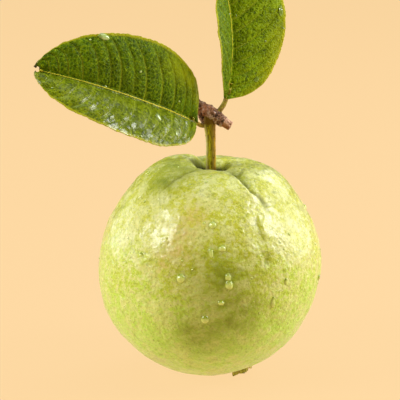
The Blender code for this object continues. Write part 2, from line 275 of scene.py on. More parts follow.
RIGHT_LEAF = {
    "tone": "blade_sunny",
    "lower_tone": "blade",
    "petiole_tones": ("petiole_green", "petiole_purple"),
    "glow": (0.5, 0.6),
    "shine": 0.0,
    "seed": 47.0,
    "drops": [((0.52, 0.9), 1.7, 4.4, 0), ((0.155, 0.72), 1.7, 2.4, 30)],
    "drop_seed": 9,
    "petiole": [(3.4, 0.0, 105.9), (4.9, 0.2, 107.9), (6.4, 0.2, 110.2), (7.3, 0.5, 112.6)],
    "spine": [
        (7.3, 0.5, 112.6),
        (9.4, 4.0, 127.2),
        (9.0, 6.5, 142.6),
        (5.9, 6.5, 160.0),
        (-0.3, 2.0, 184.0),
    ],
    "petiole_radius": (1.1, 0.92),
    "notch": 0.0,
    "widest": 0.5,
    "vein_angle": 63.0,
    "halves": [
        {
            "width": 23.5,
            "lobe": 0.0,
            "fold": (79.0, 73.0),
            "pointed": (0.52, 0.78),
            "veins": [(0.07, 0.8), (0.155, 0.9), (0.245, 1), (0.34, 1), (0.43, 1), (0.515, 1), (0.6, 1),
                      (0.68, 0.9), (0.755, 0.9), (0.82, 0.8), (0.88, 0.7), (0.935, 0.5)],
        },
        {
            "width": 24.0,
            "lobe": 1.6,
            "fold": (-24.5, -15.5),
            "pointed": (0.5, 0.78),
            "veins": [(0.055, 0.9), (0.135, 0.8), (0.223, 0.8), (0.318, 1), (0.42, 1), (0.497, 1),
                      (0.585, 1), (0.665, 1), (0.74, 0.9), (0.81, 0.8), (0.87, 0.7), (0.925, 0.5)],
        },
    ],
}
LEAVES = {"left_leaf": LEFT_LEAF, "right_leaf": RIGHT_LEAF}
BLADE_BULGE = 1.2
BLADE_BASE_POWER = 1.5
BLADE_TIP_POWER = 2.0
BLADE_LEAST_HALF_WIDTH = 0.3
MIDRIB_HEIGHT = (1.0, 0.15)
MIDRIB_HALF_WIDTH = 1.2
BLADE_SPAN = (0.02, 0.998)
BLADE_END_CROWDING = 0.5
BLADE_STATIONS = 270
BLADE_SAMPLES = 161  # across one face, an odd number so that one lies on the midrib
PETIOLE_STATIONS = 20
ROOT_SHARE = 0.022  # of the length, over which the round petiole turns into the blade
VEIN_CURL = 7.0  # how far a vein has bent towards the tip when it meets the edge
VEIN_HALF_WIDTH = 0.24
VEIN_DEPTH = 0.3
VEIN_END_GAP = 6.0  # from the last vein at either end to where the doming stops
MIDRIB_LINE_HALF_WIDTH = 0.36
MIDRIB_RISE = 0.35  # of its line above the upper face
GUTTER = (0.9, 0.5, 0.3)  # beside the midrib: distance from it, half width and depth
NIBBLE = 0.35  # how far the blade's edge is uneven
TIP_LENGTH = 5.0  # length of the notched tip

# Water drops on the fruit: (tilt, heading), width, length down the slope, slant.
FRUIT_DROPS = [
    ((56, -89), 3.1, 3.6, 0),
    ((55, -94), 1.2, 1.3, 0),
    ((70, -90), 2.0, 4.2, 10),
    ((68, -84), 3.2, 3.1, 0),
    ((83, -105), 3.8, 4.0, 0),
    ((86, -81), 3.3, 4.2, 0),
    ((82, -81.5), 2.6, 3.4, 0),
    ((97, -57), 2.2, 5.6, 0),
    ((88, -49), 1.7, 3.4, 10),
    ((104, -93), 3.2, 3.6, 0),
    ((95, -85), 3.0, 2.4, 0),
    ((74, -129), 2.2, 2.2, 0),
    ((94, -12), 1.8, 2.6, 0),
    ((33, -168), 2.0, 2.4, 0),
    ((27, -90), 1.2, 1.5, 0),
    ((32, -94), 1.0, 1.4, 0),
    ((62, 60), 3.2, 4.0, 0),
    ((78, 95), 2.6, 4.6, 8),
    ((70, 150), 3.4, 3.6, 0),
    ((98, 120), 2.4, 3.6, 0),
    ((60, 10), 2.4, 2.8, 0),
]
FRUIT_DROP_SEED = 4
LEAF_DROP_SINK = 0.12  # how deep the middle of a drop lies in a blade
BEAD_FOOT = 0.04  # how far a drop goes on below its middle, as a share of its height

# Stage: the view is set by its pitch, the width it shows at the fruit and the point it aims at.
VIEW_PITCH = 12.5
VIEW_WIDTH = 162.2
VIEW_AIM = (-3.2, 5.7, 69.7)
LENS = 180.0
SENSOR = 36.0
VIEW_END = 20000.0
LIGHT_AIM = (0.0, 0.0, 60.0)
FLOOR_SIDES = 96
FLOOR_GAP = 0.1  # how far the floor lies below the ground, so that it never touches the skin

# Each light panel: the setting with its power, its direction from the object, and its distance and
# size in metres.
PANELS = [
    ("left_box", (-0.76, -0.36, 0.52), 0.75, (0.28, 0.3)),
    ("right_box", (0.8, -0.14, 0.58), 0.75, (0.34, 0.28)),
    ("left_wall", (-1.0, 0.3, 0.2), 0.9, (1.0, 0.38)),
    ("right_wall", (1.0, 0.25, 0.2), 0.9, (1.0, 0.38)),
    ("top_panel", (0.0, 0.15, 1.0), 1.2, (1.3, 1.3)),
    ("back_panel", (0.5, 0.72, 0.48), 1.0, (0.5, 0.4)),
]


# --- numbers and paths -----------------------------------------------------------------------


def unit(vectors):
    return vectors / np.linalg.norm(vectors, axis=-1, keepdims=True)


def mix(low, high, share):
    return low + (high - low) * share


def ease(low, high, value):
    """Smooth step from 0 at low to 1 at high."""
    share = np.clip((value - low) / (high - low), 0.0, 1.0)
    return share * share * (3.0 - 2.0 * share)


def bell(distance, spread, power=2.0):
    """1 at no distance, falling smoothly to 0."""
    return np.exp(-((np.abs(distance) / spread) ** power))


def crowd_ends(share, amount):
    return share - amount * np.sin(math.tau * share) / math.tau


def direction_at(tilt, heading):
    tilt = np.radians(tilt)
    heading = np.radians(heading)
    level = np.sin(tilt)
    return np.stack([level * np.cos(heading), level * np.sin(heading), np.cos(tilt)], axis=-1)


def angle_from(directions, centre):
    return np.degrees(np.arccos(np.clip(directions @ centre, -1.0, 1.0)))


def path_points(points, shares):
    """Points at shares of the way along a smooth curve through the given ones (Catmull-Rom)."""
    points = np.asarray(points, float)
    place = np.clip(shares, 0.0, 1.0) * (len(points) - 1)
    index = np.minimum(place.astype(int), len(points) - 2)
    t = (place - index)[..., None]
    padded = np.vstack([2 * points[0] - points[1], points, 2 * points[-1] - points[-2]])
    before, here, there, after = (padded[index + step] for step in range(4))
    linear = (there - before) * 0.5
    square = before - here * 2.5 + there * 2.0 - after * 0.5
    cube = (after - before) * 0.5 + (here - there) * 1.5
    return here + linear * t + square * t**2 + cube * t**3


def path_frames(points, shares, facing):
    """Point, sideways and face directions at shares of a path, the face as near to facing as can be."""
    step = 0.01
    ahead = path_points(points, shares + step)[..., :3]
    behind = path_points(points, shares - step)[..., :3]
    tangent = unit(ahead - behind)
    facing = np.asarray(facing, float)
    face = unit(facing - tangent * (tangent @ facing)[..., None])
    return path_points(points, shares), np.cross(tangent, face), face


def spokes(sideways, face, turn):
    """Directions square to a path at each of its frames, one for each turn in radians."""
    return sideways[:, None] * np.cos(turn)[None, :, None] + face[:, None] * np.sin(turn)[None, :, None]


def rough(points, size, octaves=3):
    """Smooth noise from about -1 to 1 at each point, with features of the given size."""
    shape = points.shape[:-1]
    flat = (points / size).reshape(-1, 3)
    values = [noise.fractal(place, 0.9, 2.0, octaves, noise_basis="PERLIN_ORIGINAL") for place in flat]
    return np.array(values).reshape(shape)


# --- meshes ----------------------------------------------------------------------------------


def link(name, mesh):
    piece = bpy.data.objects.new(name, mesh)
    bpy.context.scene.collection.objects.link(piece)
    return piece


def set_values(mesh, values):
    """Store named numbers on a mesh's points, for its material and modifiers."""
    for name, numbers in values.items():
        attribute = mesh.attributes.new(name, "FLOAT", "POINT")
        attribute.data.foreach_set("value", np.asarray(numbers, np.float32).ravel())


def loft(name, rings, values, strip_caps=False):
    """Skin closed rings of points (rings, around, 3), given in mm, and close both ends.

    Strip caps join the first half of a ring to the second half, which suits thin flat sections.
    """
    count, around = rings.shape[:2]
    number = np.arange(count * around).reshape(count, around)
    beside = np.roll(number, -1, axis=1)
    quads = np.stack([number[:-1], beside[:-1], beside[1:], number[1:]], axis=-1).reshape(-1, 4)
    faces = quads.tolist()
    for ring in (number[0][::-1], number[-1]):
        if strip_caps:
            half = around // 2
            for here in range(half - 1):
                opposite = around - 1 - here
                faces.append([ring[here], ring[here + 1], ring[opposite - 1], ring[opposite]])
        else:
            faces.append(ring.tolist())
    mesh = bpy.data.meshes.new(name)
    mesh.from_pydata((rings * MM).reshape(-1, 3).tolist(), [], faces)
    set_values(mesh, values)
    bm = bmesh.new()
    bm.from_mesh(mesh)
    bmesh.ops.recalc_face_normals(bm, faces=bm.faces[:])
    bm.to_mesh(mesh)
    bm.free()
    mesh.shade_smooth()
    return link(name, mesh)


def points_piece(name, places, vectors):
    """Loose points in mm with vectors stored on them, for a geometry tree to dress."""
    mesh = bpy.data.meshes.new(name)
    mesh.from_pydata([tuple(np.asarray(place) * MM) for place in places], [], [])
    for label, values in vectors.items():
        attribute = mesh.attributes.new(label, "FLOAT_VECTOR", "POINT")
        attribute.data.foreach_set("vector", np.asarray(values, np.float32).ravel())
    return link(name, mesh)


def settle(piece):
    """Turn a piece and its modifiers into one plain mesh."""
    bpy.context.view_layer.update()
    evaluated = piece.evaluated_get(bpy.context.evaluated_depsgraph_get())
    mesh = bpy.data.meshes.new_from_object(evaluated)
    piece.modifiers.clear()
    piece.data = mesh
    mesh.name = piece.name
    return piece


def hand_over(piece, slot, *nodes):
    """Fix a finished piece to the body and let it stand for its solids. The slot is not used."""
    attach(piece, "root")
    if nodes:
        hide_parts(*nodes)


# --- node trees ------------------------------------------------------------------------------


class Nodes:
    """Adds nodes to a tree, each with its inputs set or linked in one call."""

    def __init__(self, tree):
        self.tree = tree
        tree.nodes.clear()

    def add(self, kind, inputs=None, **settings):
        node = self.tree.nodes.new(kind)
        for name, value in settings.items():
            setattr(node, name, value)
        for name, value in (inputs or {}).items():
            socket = node.inputs[name]
            if isinstance(value, bpy.types.NodeSocket):
                self.tree.links.new(value, socket)
            else:
                socket.default_value = value
        return node

    def value(self, name):
        """A number stored on the mesh's points, in a material or a geometry tree."""
        if self.tree.type == "GEOMETRY":
            return self.stored(name, "FLOAT")
        return self.add("ShaderNodeAttribute", attribute_name=name).outputs["Fac"]

    def stored(self, name, kind):
        """A number or vector stored on the mesh's points, in a geometry tree."""
        return self.add("GeometryNodeInputNamedAttribute", {"Name": name}, data_type=kind).outputs[0]

    def place(self):
        if self.tree.type == "GEOMETRY":
            return self.add("GeometryNodeInputPosition").outputs[0]
        return self.add("ShaderNodeTexCoord").outputs["Object"]

    def math(self, operation, first, second=0.0, clamp=False):
        node = self.add("ShaderNodeMath", {0: first, 1: second}, operation=operation, use_clamp=clamp)
        return node.outputs[0]

    def times(self, first, second):
        return self.math("MULTIPLY", first, second)

    def vector(self, operation, first, second):
        name = "Scale" if operation == "SCALE" else 1
        return self.add("ShaderNodeVectorMath", {0: first, name: second}, operation=operation).outputs[0]

    def range(self, value, low, high, new_low=0.0, new_high=1.0):
        inputs = {"Value": value, 1: low, 2: high, 3: new_low, 4: new_high}
        return self.add("ShaderNodeMapRange", inputs, interpolation_type="SMOOTHSTEP").outputs[0]

    def noise(self, place, size, detail=2.0, roughness=0.5, distortion=0.0):
        inputs = {"Vector": place, "Scale": self.scale_for(size), "Detail": detail,
                  "Roughness": roughness, "Distortion": distortion}
        return self.add("ShaderNodeTexNoise", inputs).outputs[0]

    def scale_for(self, size):
        """A texture's scale, for features of a size that is a number or comes from a node."""
        return self.math("DIVIDE", 1.0, size) if isinstance(size, bpy.types.NodeSocket) else 1.0 / size

    def warp(self, place, size, amount):
        """The place, pushed about by noise, so that regular patterns on it look grown."""
        node = self.add("ShaderNodeTexNoise", {"Vector": place, "Scale": 1.0 / size, "Detail": 2.0})
        push = self.vector("SUBTRACT", node.outputs["Color"], (0.5, 0.5, 0.5))
        return self.vector("ADD", place, self.vector("SCALE", push, amount))

    def cells(self, place, size, feature="F1"):
        inputs = {"Vector": place, "Scale": self.scale_for(size)}
        return self.add("ShaderNodeTexVoronoi", inputs, feature=feature).outputs["Distance"]

    def stretch(self, place, scale):
        return self.add("ShaderNodeMapping", {"Vector": place, "Scale": scale}).outputs[0]

    def colour(self, factor, first, second):
        first = first if isinstance(first, bpy.types.NodeSocket) else (*first[:3], 1.0)
        second = second if isinstance(second, bpy.types.NodeSocket) else (*second[:3], 1.0)
        return self.add("ShaderNodeMix", {0: factor, 6: first, 7: second}, data_type="RGBA").outputs[2]

    def layer(self, colour, mask, share, over):
        """The colour, with another one over it where the mask is, as strongly as the share says."""
        return self.colour(self.times(mask, share), colour, over)

    def bump(self, height, depth):
        return self.add("ShaderNodeBump", {"Height": height, "Distance": depth, "Strength": 1.0}).outputs[0]


def new_material(name, **shader_values):
    """A material with one Principled shader, and a helper to build the rest of its tree."""
    material = bpy.data.materials.new(name)
    material.use_nodes = True
    nodes = Nodes(material.node_tree)
    constants = {key.replace("_", " "): value for key, value in shader_values.items()}
    shader = nodes.add("ShaderNodeBsdfPrincipled", constants)
    nodes.add("ShaderNodeOutputMaterial", {"Surface": shader.outputs[0]})
    return material, nodes, shader


def finish_shader(nodes, shader, colour, roughness, normal):
    for name, value in (("Base Color", colour), ("Roughness", roughness), ("Normal", normal)):
        if isinstance(value, bpy.types.NodeSocket):
            nodes.tree.links.new(value, shader.inputs[name])
        else:
            shader.inputs[name].default_value = value


def new_geometry_tree(name, inputs):
    """A geometry tree with one mesh going in and out, and named inputs given as (name, type, value)."""
    tree = bpy.data.node_groups.new(name, "GeometryNodeTree")
    nodes = Nodes(tree)
    tree.interface.new_socket("Geometry", in_out="INPUT", socket_type="NodeSocketGeometry")
    tree.interface.new_socket("Geometry", in_out="OUTPUT", socket_type="NodeSocketGeometry")
    for label, kind, value in inputs:
        socket = tree.interface.new_socket(label, in_out="INPUT", socket_type="NodeSocket" + kind)
        if value is not None:
            socket.default_value = value
    entry = nodes.add("NodeGroupInput")
    return tree, nodes, entry.outputs


def end_tree(nodes, last, material):
    """Make any instances real, set the material and hand the mesh out."""
    whole = nodes.add("GeometryNodeRealizeInstances", {"Geometry": last.outputs[0]})
    dressed = nodes.add("GeometryNodeSetMaterial", {"Geometry": whole.outputs[0], "Material": material})
    nodes.add("NodeGroupOutput", {"Geometry": dressed.outputs[0]})


def use_tree(piece, tree, values):
    """Put a geometry tree on a piece, with its inputs set by their identifiers."""
    modifier = piece.modifiers.new(tree.name, "NODES")
    modifier.node_group = tree
    for item in tree.interface.items_tree:
        if item.in_out == "INPUT" and item.name in values:
            modifier[item.identifier] = values[item.name]
    return piece


# --- fruit -----------------------------------------------------------------------------------


def turn_from(heading, middle):
    """Signed angle from one heading to another, between -180 and 180 degrees."""
    return (heading - middle + 180.0) % 360.0 - 180.0


def furrow_depth(tilt, heading):
    depth = np.zeros_like(tilt)
    for near, far, deepest, end in FURROWS:
        along = np.clip((tilt - FURROW_START_TILT) / (end - FURROW_START_TILT), 0.0, 1.0)
        turn = turn_from(heading, mix(near, far, along))
        sideways = np.radians(turn) * np.sin(np.radians(tilt)) * FRUIT_RADIUS
        strength = ease(*FURROW_FOOT_TILTS, tilt) * (1.0 - ease(FURROW_FADE, 1.0, along))
        depth += deepest * strength * bell(sideways, FURROW_WIDTH)
    return depth


def crease_profile(directions, places, half_width):
    """Signed distance in mm from a crease, positive on its left going outwards, and its strength."""
    shares = np.linspace(0.0, 1.0, CREASE_STEPS)
    places = path_points(np.asarray(places, float), shares)
    path = direction_at(places[:, 0], places[:, 1])
    nearest = np.full(len(directions), np.inf)
    signed = np.zeros(len(directions))
    along = np.zeros(len(directions))
    for index, (start, end) in enumerate(zip(path, path[1:])):
        step = end - start
        share = np.clip(((directions - start) @ step) / (step @ step), 0.0, 1.0)
        gap = directions - (start + share[:, None] * step)
        distance = np.linalg.norm(gap, axis=1) * FRUIT_RADIUS
        left = np.sign((np.cross(step, gap) * directions).sum(axis=1))
        closer = distance < nearest
        nearest = np.where(closer, distance, nearest)
        signed = np.where(closer, distance * left, signed)
        along = np.where(closer, (index + share) / (len(path) - 1), along)
    strength = ease(*CREASE_START, along) * (1.0 - ease(*CREASE_FADE, along))
    inside = (along > 0.0) & (along < 1.0)
    return signed, np.where(inside | (nearest < half_width), strength, 0.0)


def spots(directions, places):
    """1 at the middle of each round area given as ((tilt, heading), radius in mm), 0 well outside."""
    strength = np.zeros(len(directions))
    for place, spread in places:
        gap = np.radians(angle_from(directions, direction_at(*place))) * FRUIT_RADIUS
        strength = np.maximum(strength, bell(gap, spread))
    return strength


def stem_cavity(tilt):
    """How deep the funnel and the hole in it are, in mm."""
    return FUNNEL_DEPTH * bell(tilt, FUNNEL_SPREAD) + HOLE_DEPTH * bell(tilt, HOLE_SPREAD, STEEP)


def rim_folds(directions, tilt, heading):
    """Small folds that run out of the cavity over its rim."""
    start, full, end = RIM_FOLD_TILTS
    rim = ease(start, full, tilt) * (1.0 - ease(full, end, tilt))
    wander = RIM_FOLD_WANDER * rough(directions, 0.25, 2)
    return RIM_FOLD_HEIGHT * rim * np.sin(np.radians(heading) * RIM_FOLDS + wander)


def creases(directions):
    """What the sharp creases and their lips add to the radius, and how dark their painted shade is."""
    change = np.zeros(len(directions))
    darkness = np.zeros(len(directions))
    wander = CREASE_WANDER * rough(directions * FRUIT_RADIUS, 3.5, 2)
    for places, depth, half_width, lip in CREASES:
        signed, strength = crease_profile(directions, places, half_width)
        signed = signed + wander
        groove = bell(signed, half_width, 1.6) * strength
        change -= depth * groove
        change += lip * strength * bell(signed + LIP_SETBACK, LIP_HALF_WIDTH)
        darkness = np.maximum(darkness, groove * min(1.0, CREASE_DARKNESS * depth))
    return change, darkness


def fruit_shape(directions):
    """Distance of the skin from the centre along each direction, and the masks its material reads."""
    tilt = angle_from(directions, direction_at(CAVITY_TILT, 0.0))
    heading = np.degrees(np.arctan2(directions[:, 1], directions[:, 0]))
    lobe = angle_from(directions, direction_at(*TALL_LOBE_PLACE))
    calyx = angle_from(directions, direction_at(CALYX_TILT, CALYX_HEADING))
    lip_turn = turn_from(heading, LIP_PLACE[1])
    sunk = stem_cavity(tilt)
    furrow = furrow_depth(tilt, heading)
    radius = FRUIT_RADIUS + SHOULDER_RISE * bell(tilt - SHOULDER_TILT, SHOULDER_SPREAD)
    radius += TALL_LOBE_RISE * bell(lobe, TALL_LOBE_SPREAD) * ease(*LOBE_EDGE_TILTS, tilt)
    radius -= sunk + furrow + DIMPLE_DEPTH * bell(calyx, DIMPLE_SPREAD)
    radius += LIP_RISE * bell(tilt - LIP_PLACE[0], LIP_SPREAD[0]) * bell(lip_turn, LIP_SPREAD[1])
    radius += rim_folds(directions, tilt, heading)
    change, crease = creases(directions)
    radius += change
    for place, depth, spread in DENTS:
        radius -= depth * spots(directions, [(place, spread)])
    # Painted shade: the skin just inside the lip is darkened like a crease.
    lip_shade = bell(tilt - LIP_SHADE_TILT, LIP_SHADE_SPREAD, STEEP) * bell(lip_turn, LIP_SPREAD[1], STEEP)
    masks = {
        "crease": np.maximum(crease, lip_shade),
        "furrow": furrow + FUNNEL_SHADE * ease(*FUNNEL_SHADE_DEPTHS, sunk),
        "hollow": ease(*HOLLOW_DEPTHS, sunk),
        "rub": spots(directions, RUB_MARK),
        "shade": spots(directions, SHADE_AREAS),
        "calm": np.maximum(bell(tilt, CALM_SPREAD, 6.0), bell(calyx, DIMPLE_SPREAD)),
        "wet": 1.0 - np.maximum(bell(tilt, DRY_SPREAD, STEEP), ease(*DRY_TILTS, tilt)),
    }
    return radius, masks


def skin_points(directions):
    """Places on the skin in mm along the directions, and the masks there."""
    radius, masks = fruit_shape(directions)
    points = directions * radius[:, None]
    points[:, 0] += LEAN * ease(*LEAN_HEIGHTS, points[:, 2])
    points[:, 2] += FRUIT_CENTRE_Z
    return points, masks


def skin_relief_tree():
    """Lumps, wrinkles and fine pebbles, pushed out along the skin's own normal."""
    sizes = [
        ("Lump Size", "Float", 0.0085),
        ("Lump Height", "Float", 0.0004),
        ("Wrinkle Size", "Float", 0.0023),
        ("Wrinkle Height", "Float", 0.0002),
        ("Pebble Size", "Float", 0.0024),
        ("Pebble Height", "Float", 0.0001),
        ("Skin", "Material", None),
    ]
    tree, nodes, inputs = new_geometry_tree("Skin relief", sizes)
    place = nodes.place()
    lumps = nodes.math("SUBTRACT", nodes.noise(place, inputs["Lump Size"], 2.0), 0.5)
    wrinkles = nodes.noise(place, inputs["Wrinkle Size"], 2.0, 0.55, 1.2)
    wrinkles = nodes.math("ABSOLUTE", nodes.math("SUBTRACT", wrinkles, 0.5))
    pebbles = nodes.cells(nodes.warp(place, 0.004, 0.002), inputs["Pebble Size"], "SMOOTH_F1")
    # The factors bring each pattern's own range to about 1, and wrinkles and gaps point inwards.
    lump = nodes.times(lumps, nodes.times(inputs["Lump Height"], 2.5))
    wrinkle = nodes.times(wrinkles, nodes.times(inputs["Wrinkle Height"], -6.0))
    pebble = nodes.times(pebbles, nodes.times(inputs["Pebble Height"], -2.0))
    height = nodes.math("ADD", nodes.math("ADD", lump, wrinkle), pebble)
    patchy = nodes.range(nodes.noise(place, 0.012, 2.0), 0.35, 0.6, 0.4, 1.0)
    active = nodes.times(patchy, nodes.math("SUBTRACT", 1.0, nodes.value("calm"), clamp=True))
    normal = nodes.add("GeometryNodeInputNormal").outputs[0]
    offset = nodes.vector("SCALE", normal, nodes.times(height, active))
    moved = nodes.add("GeometryNodeSetPosition", {"Geometry": inputs["Geometry"], "Offset": offset})
    end_tree(nodes, moved, inputs["Skin"])
    return tree


def skin_material(settings):
    material, nodes, shader = new_material(
        "guava skin",
        IOR=1.4,
        Sheen_Weight=0.08,
        Sheen_Roughness=0.35,
        Coat_Roughness=0.27,
        Coat_IOR=1.6,
        Subsurface_Weight=0.1,
        Subsurface_Radius=(1.0, 0.9, 0.25),
        Subsurface_Scale=0.002,
    )
    place = nodes.place()
    height = nodes.add("ShaderNodeSeparateXYZ", {0: place}).outputs[2]
    patch = nodes.noise(place, 0.007, 3.0, 0.6)
    mottle = nodes.noise(nodes.warp(place, 0.004, 0.0015), 0.0027, 4.0, 0.68)
    streak = nodes.noise(nodes.warp(place, 0.0015, 0.0012), 0.0011, 3.0, 0.6)
    colour = skin_ground(nodes, settings, place, height)
    colour = skin_mottling(nodes, settings, colour, place, height, patch, mottle, streak)
    colour = skin_marks(nodes, settings, colour, place, patch, mottle)
    dimple = nodes.cells(nodes.warp(place, 0.002, 0.0012), 0.0016, "SMOOTH_F1")
    relief = nodes.math("ADD", streak, nodes.times(nodes.range(dimple, 0.1, 0.7), 0.35))
    crease = nodes.value("crease")
    dull = nodes.math("ADD", nodes.value("hollow"), nodes.times(crease, 0.5))
    roughness = nodes.math("ADD", nodes.range(mottle, 0.35, 0.65, 0.32, 0.5), dull, clamp=True)
    matt = nodes.math("ADD", nodes.value("calm"), nodes.times(nodes.value("shade"), 0.85))
    matt = nodes.math("ADD", matt, crease, clamp=True)
    film = nodes.range(nodes.noise(nodes.warp(place, 0.006, 0.003), 0.0048, 2.0), 0.4, 0.56, 0.45, 1.0)
    film = nodes.times(film, nodes.math("SUBTRACT", 1.0, matt))
    nodes.tree.links.new(nodes.times(film, settings.wax), shader.inputs["Coat Weight"])
    finish_shader(nodes, shader, colour, roughness, nodes.bump(relief, 0.0005))
    return material


def skin_ground(nodes, settings, place, height):
    """Yellow-green above and greener lower down; the paler green round the bottom is partly painted light
    from below.
    """
    uneven = nodes.math("SUBTRACT", nodes.noise(place, 0.022, 2.0), 0.5)
    shaded = nodes.math("ADD", nodes.range(height, 0.078, 0.022), uneven)
    colour = nodes.colour(nodes.range(shaded, 0.0, 1.0), settings.ripe, settings.green)
    # Partly painted light: paler green round the bottom.
    return nodes.colour(nodes.range(height, 0.045, 0.01, 0.0, 0.65), colour, settings.fresh)


def skin_mottling(nodes, settings, colour, place, height, patch, mottle, streak):
    """Pale and deep mottling from patches of a centimetre down to flecks of a millimetre; the pale mottling
    and flecks, stronger higher up, are partly painted glints and sheen.
    """
    # How strongly the painted glints and sheen show, growing towards the top.
    high = nodes.range(height, 0.012, 0.045, 0.45, 1.0)
    fleck = nodes.noise(nodes.warp(place, 0.0012, 0.0008), 0.0008, 3.0, 0.6)
    colour = nodes.colour(nodes.range(patch, 0.48, 0.6, 0.0, 0.6), colour, settings.pale)
    colour = nodes.layer(colour, nodes.range(mottle, 0.5, 0.6, 0.0, 0.8), high, settings.pale)
    colour = nodes.colour(nodes.range(mottle, 0.45, 0.32, 0.0, 0.45), colour, settings.deep)
    colour = nodes.colour(nodes.range(streak, 0.54, 0.7, 0.0, 0.35), colour, settings.deep)
    brown = nodes.times(nodes.range(streak, 0.42, 0.3), nodes.range(patch, 0.5, 0.62))
    colour = nodes.layer(colour, brown, 0.5, settings.rubbed)
    # Painted glints: pale flecks, stronger higher up.
    colour = nodes.layer(colour, nodes.range(fleck, 0.55, 0.66, 0.0, 0.7), high, settings.pale)
    colour = nodes.colour(nodes.range(fleck, 0.43, 0.32, 0.0, 0.55), colour, settings.deep)
    # Partly painted light: paler green again round the bottom.
    return nodes.colour(nodes.range(height, 0.055, 0.01, 0.0, 0.3), colour, settings.fresh)


def skin_marks(nodes, settings, colour, place, patch, mottle):
    """Painted shade in the furrows, shaded areas, creases and cavity; the rub mark and pores."""
    # Painted shade: the furrows, and the cavity's wall by its depth, turn deeper green.
    furrow = nodes.range(nodes.value("furrow"), 0.2, 1.4, 0.0, 0.4)
    pores = nodes.range(nodes.cells(place, 0.0034), 0.12, 0.06)
    shade = nodes.range(patch, 0.3, 0.65, 1.0, 0.5)
    rub = nodes.range(mottle, 0.36, 0.6, 0.2, 0.75)
    colour = nodes.colour(furrow, colour, settings.deep)
    # Painted shade: the shaded areas turn deeper green.
    colour = nodes.layer(colour, nodes.value("shade"), shade, settings.deep)
    colour = nodes.layer(colour, nodes.value("rub"), rub, settings.rubbed)
    colour = nodes.layer(colour, pores, 0.35, settings.pore)
    # Painted shade: the creases and the skin just inside the lip are darkened.
    colour = nodes.layer(colour, nodes.value("crease"), 0.85, settings.crease)
    # Painted shade: deep in the cavity the skin turns nearly black.
    return nodes.colour(nodes.value("hollow"), colour, settings.hollow)


def fruit_body():
    """A cube cut into a fine grid and blown up to the fruit's shape, so that no point is a pole."""
    bpy.ops.mesh.primitive_cube_add(size=2.0)
    fruit = bpy.context.object
    mesh = fruit.data
    bm = bmesh.new()
    bm.from_mesh(mesh)
    bmesh.ops.subdivide_edges(bm, edges=bm.edges[:], cuts=SPHERE_CUTS, use_grid_fill=True)
    bm.to_mesh(mesh)
    bm.free()
    corners = np.empty(len(mesh.vertices) * 3)
    mesh.vertices.foreach_get("co", corners)
    directions = unit(np.tan(corners.reshape(-1, 3) * math.pi / 4))
    points, masks = skin_points(directions)
    mesh.vertices.foreach_set("co", (points * MM).ravel())
    set_values(mesh, masks)
    mesh.shade_smooth()
    fruit.name = "guava_fruit"
    mesh.name = "guava_fruit"
    return fruit


def rest_on_ground(mesh):
    """Roll the skin softly into the flat spot, so that nothing reaches below the ground."""
    points = np.empty(len(mesh.vertices) * 3)
    mesh.vertices.foreach_get("co", points)
    points = points.reshape(-1, 3)
    height = points[:, 2] / MM
    points[:, 2] = 0.5 * (height + np.sqrt(height**2 + REST_SOFTNESS**2)) * MM
    mesh.vertices.foreach_set("co", points.ravel())


def build_fruit(settings):
    fruit = fruit_body()
    tree = skin_relief_tree()
    values = {
        "Lump Height": settings.lump_height,
        "Wrinkle Height": settings.wrinkle_height,
        "Pebble Height": settings.pebble_height,
        "Skin": skin_material(settings),
    }
    settle(use_tree(fruit, tree, values))
    rest_on_ground(fruit.data)
    hand_over(fruit, "skin", "fruit")


# --- stalk, twig and side shoot --------------------------------------------------------------


def rod(name, points, grid, relief, span=(0.0, 1.0), masks=None):
    """A tube along the points with its radius changed by relief(place, turn, share), in mm."""
    stations, around = grid
    share = np.linspace(*span, stations)
    centre, sideways, face = path_frames(points, share, (0.0, -1.0, 0.1))
    turn = np.linspace(0.0, math.tau, around, endpoint=False)
    outwards = spokes(sideways, face, turn)
    radius = centre[:, 3][:, None]
    surface = centre[:, None, :3] + outwards * radius[..., None]
    shares = np.repeat(share[:, None], around, axis=1)
    turns = np.repeat(turn[None, :], stations, axis=0)
    change = relief(surface, turns, shares)
    rings = centre[:, None, :3] + outwards * (radius + change)[..., None]
    values = {"share": shares, "left": -outwards[..., 0], "relief": change}
    if masks is not None:
        values.update(masks(surface, turns, shares))
    return loft(name, rings, values)


def stalk_relief(surface, turn, share):
    ridges = 0.13 * np.sin(5.0 * turn + 1.5 * share + 0.6)
    flare = 0.5 * ease(0.86, 1.0, share) * bell(np.sin(0.5 * turn), 0.8)
    return ridges + flare + 0.1 * rough(surface, 1.6, 3) + 0.12 * rough(surface * (1.0, 1.0, 0.25), 0.7, 2)


def bark_relief(surface, turn, share):
    plates = rough(surface, 1.3, 3)
    steps = np.round(plates * 3.0) / 3.0
    ribs = 0.14 * np.abs(np.sin(4.0 * turn + 3.0 * rough(surface, 3.0, 2)))
    knot = 0.45 * bell(share - 0.57, 0.13)
    return 0.26 * steps + 0.16 * plates + ribs + knot + 0.12


def wood_relief(surface, turn, share):
    grain = 0.1 * np.sin(9.0 * turn + 2.0 * rough(surface, 2.0, 2))
    chipped = 1.3 * ease(0.92, 1.0, share) * np.abs(rough(surface, 1.0, 2))
    return -0.1 + grain + 0.12 * rough(surface, 0.8, 3) - chipped


def shoot_relief(surface, turn, share):
    return 0.08 * np.sin(3.0 * turn) + 0.16 * rough(surface, 0.8, 3)


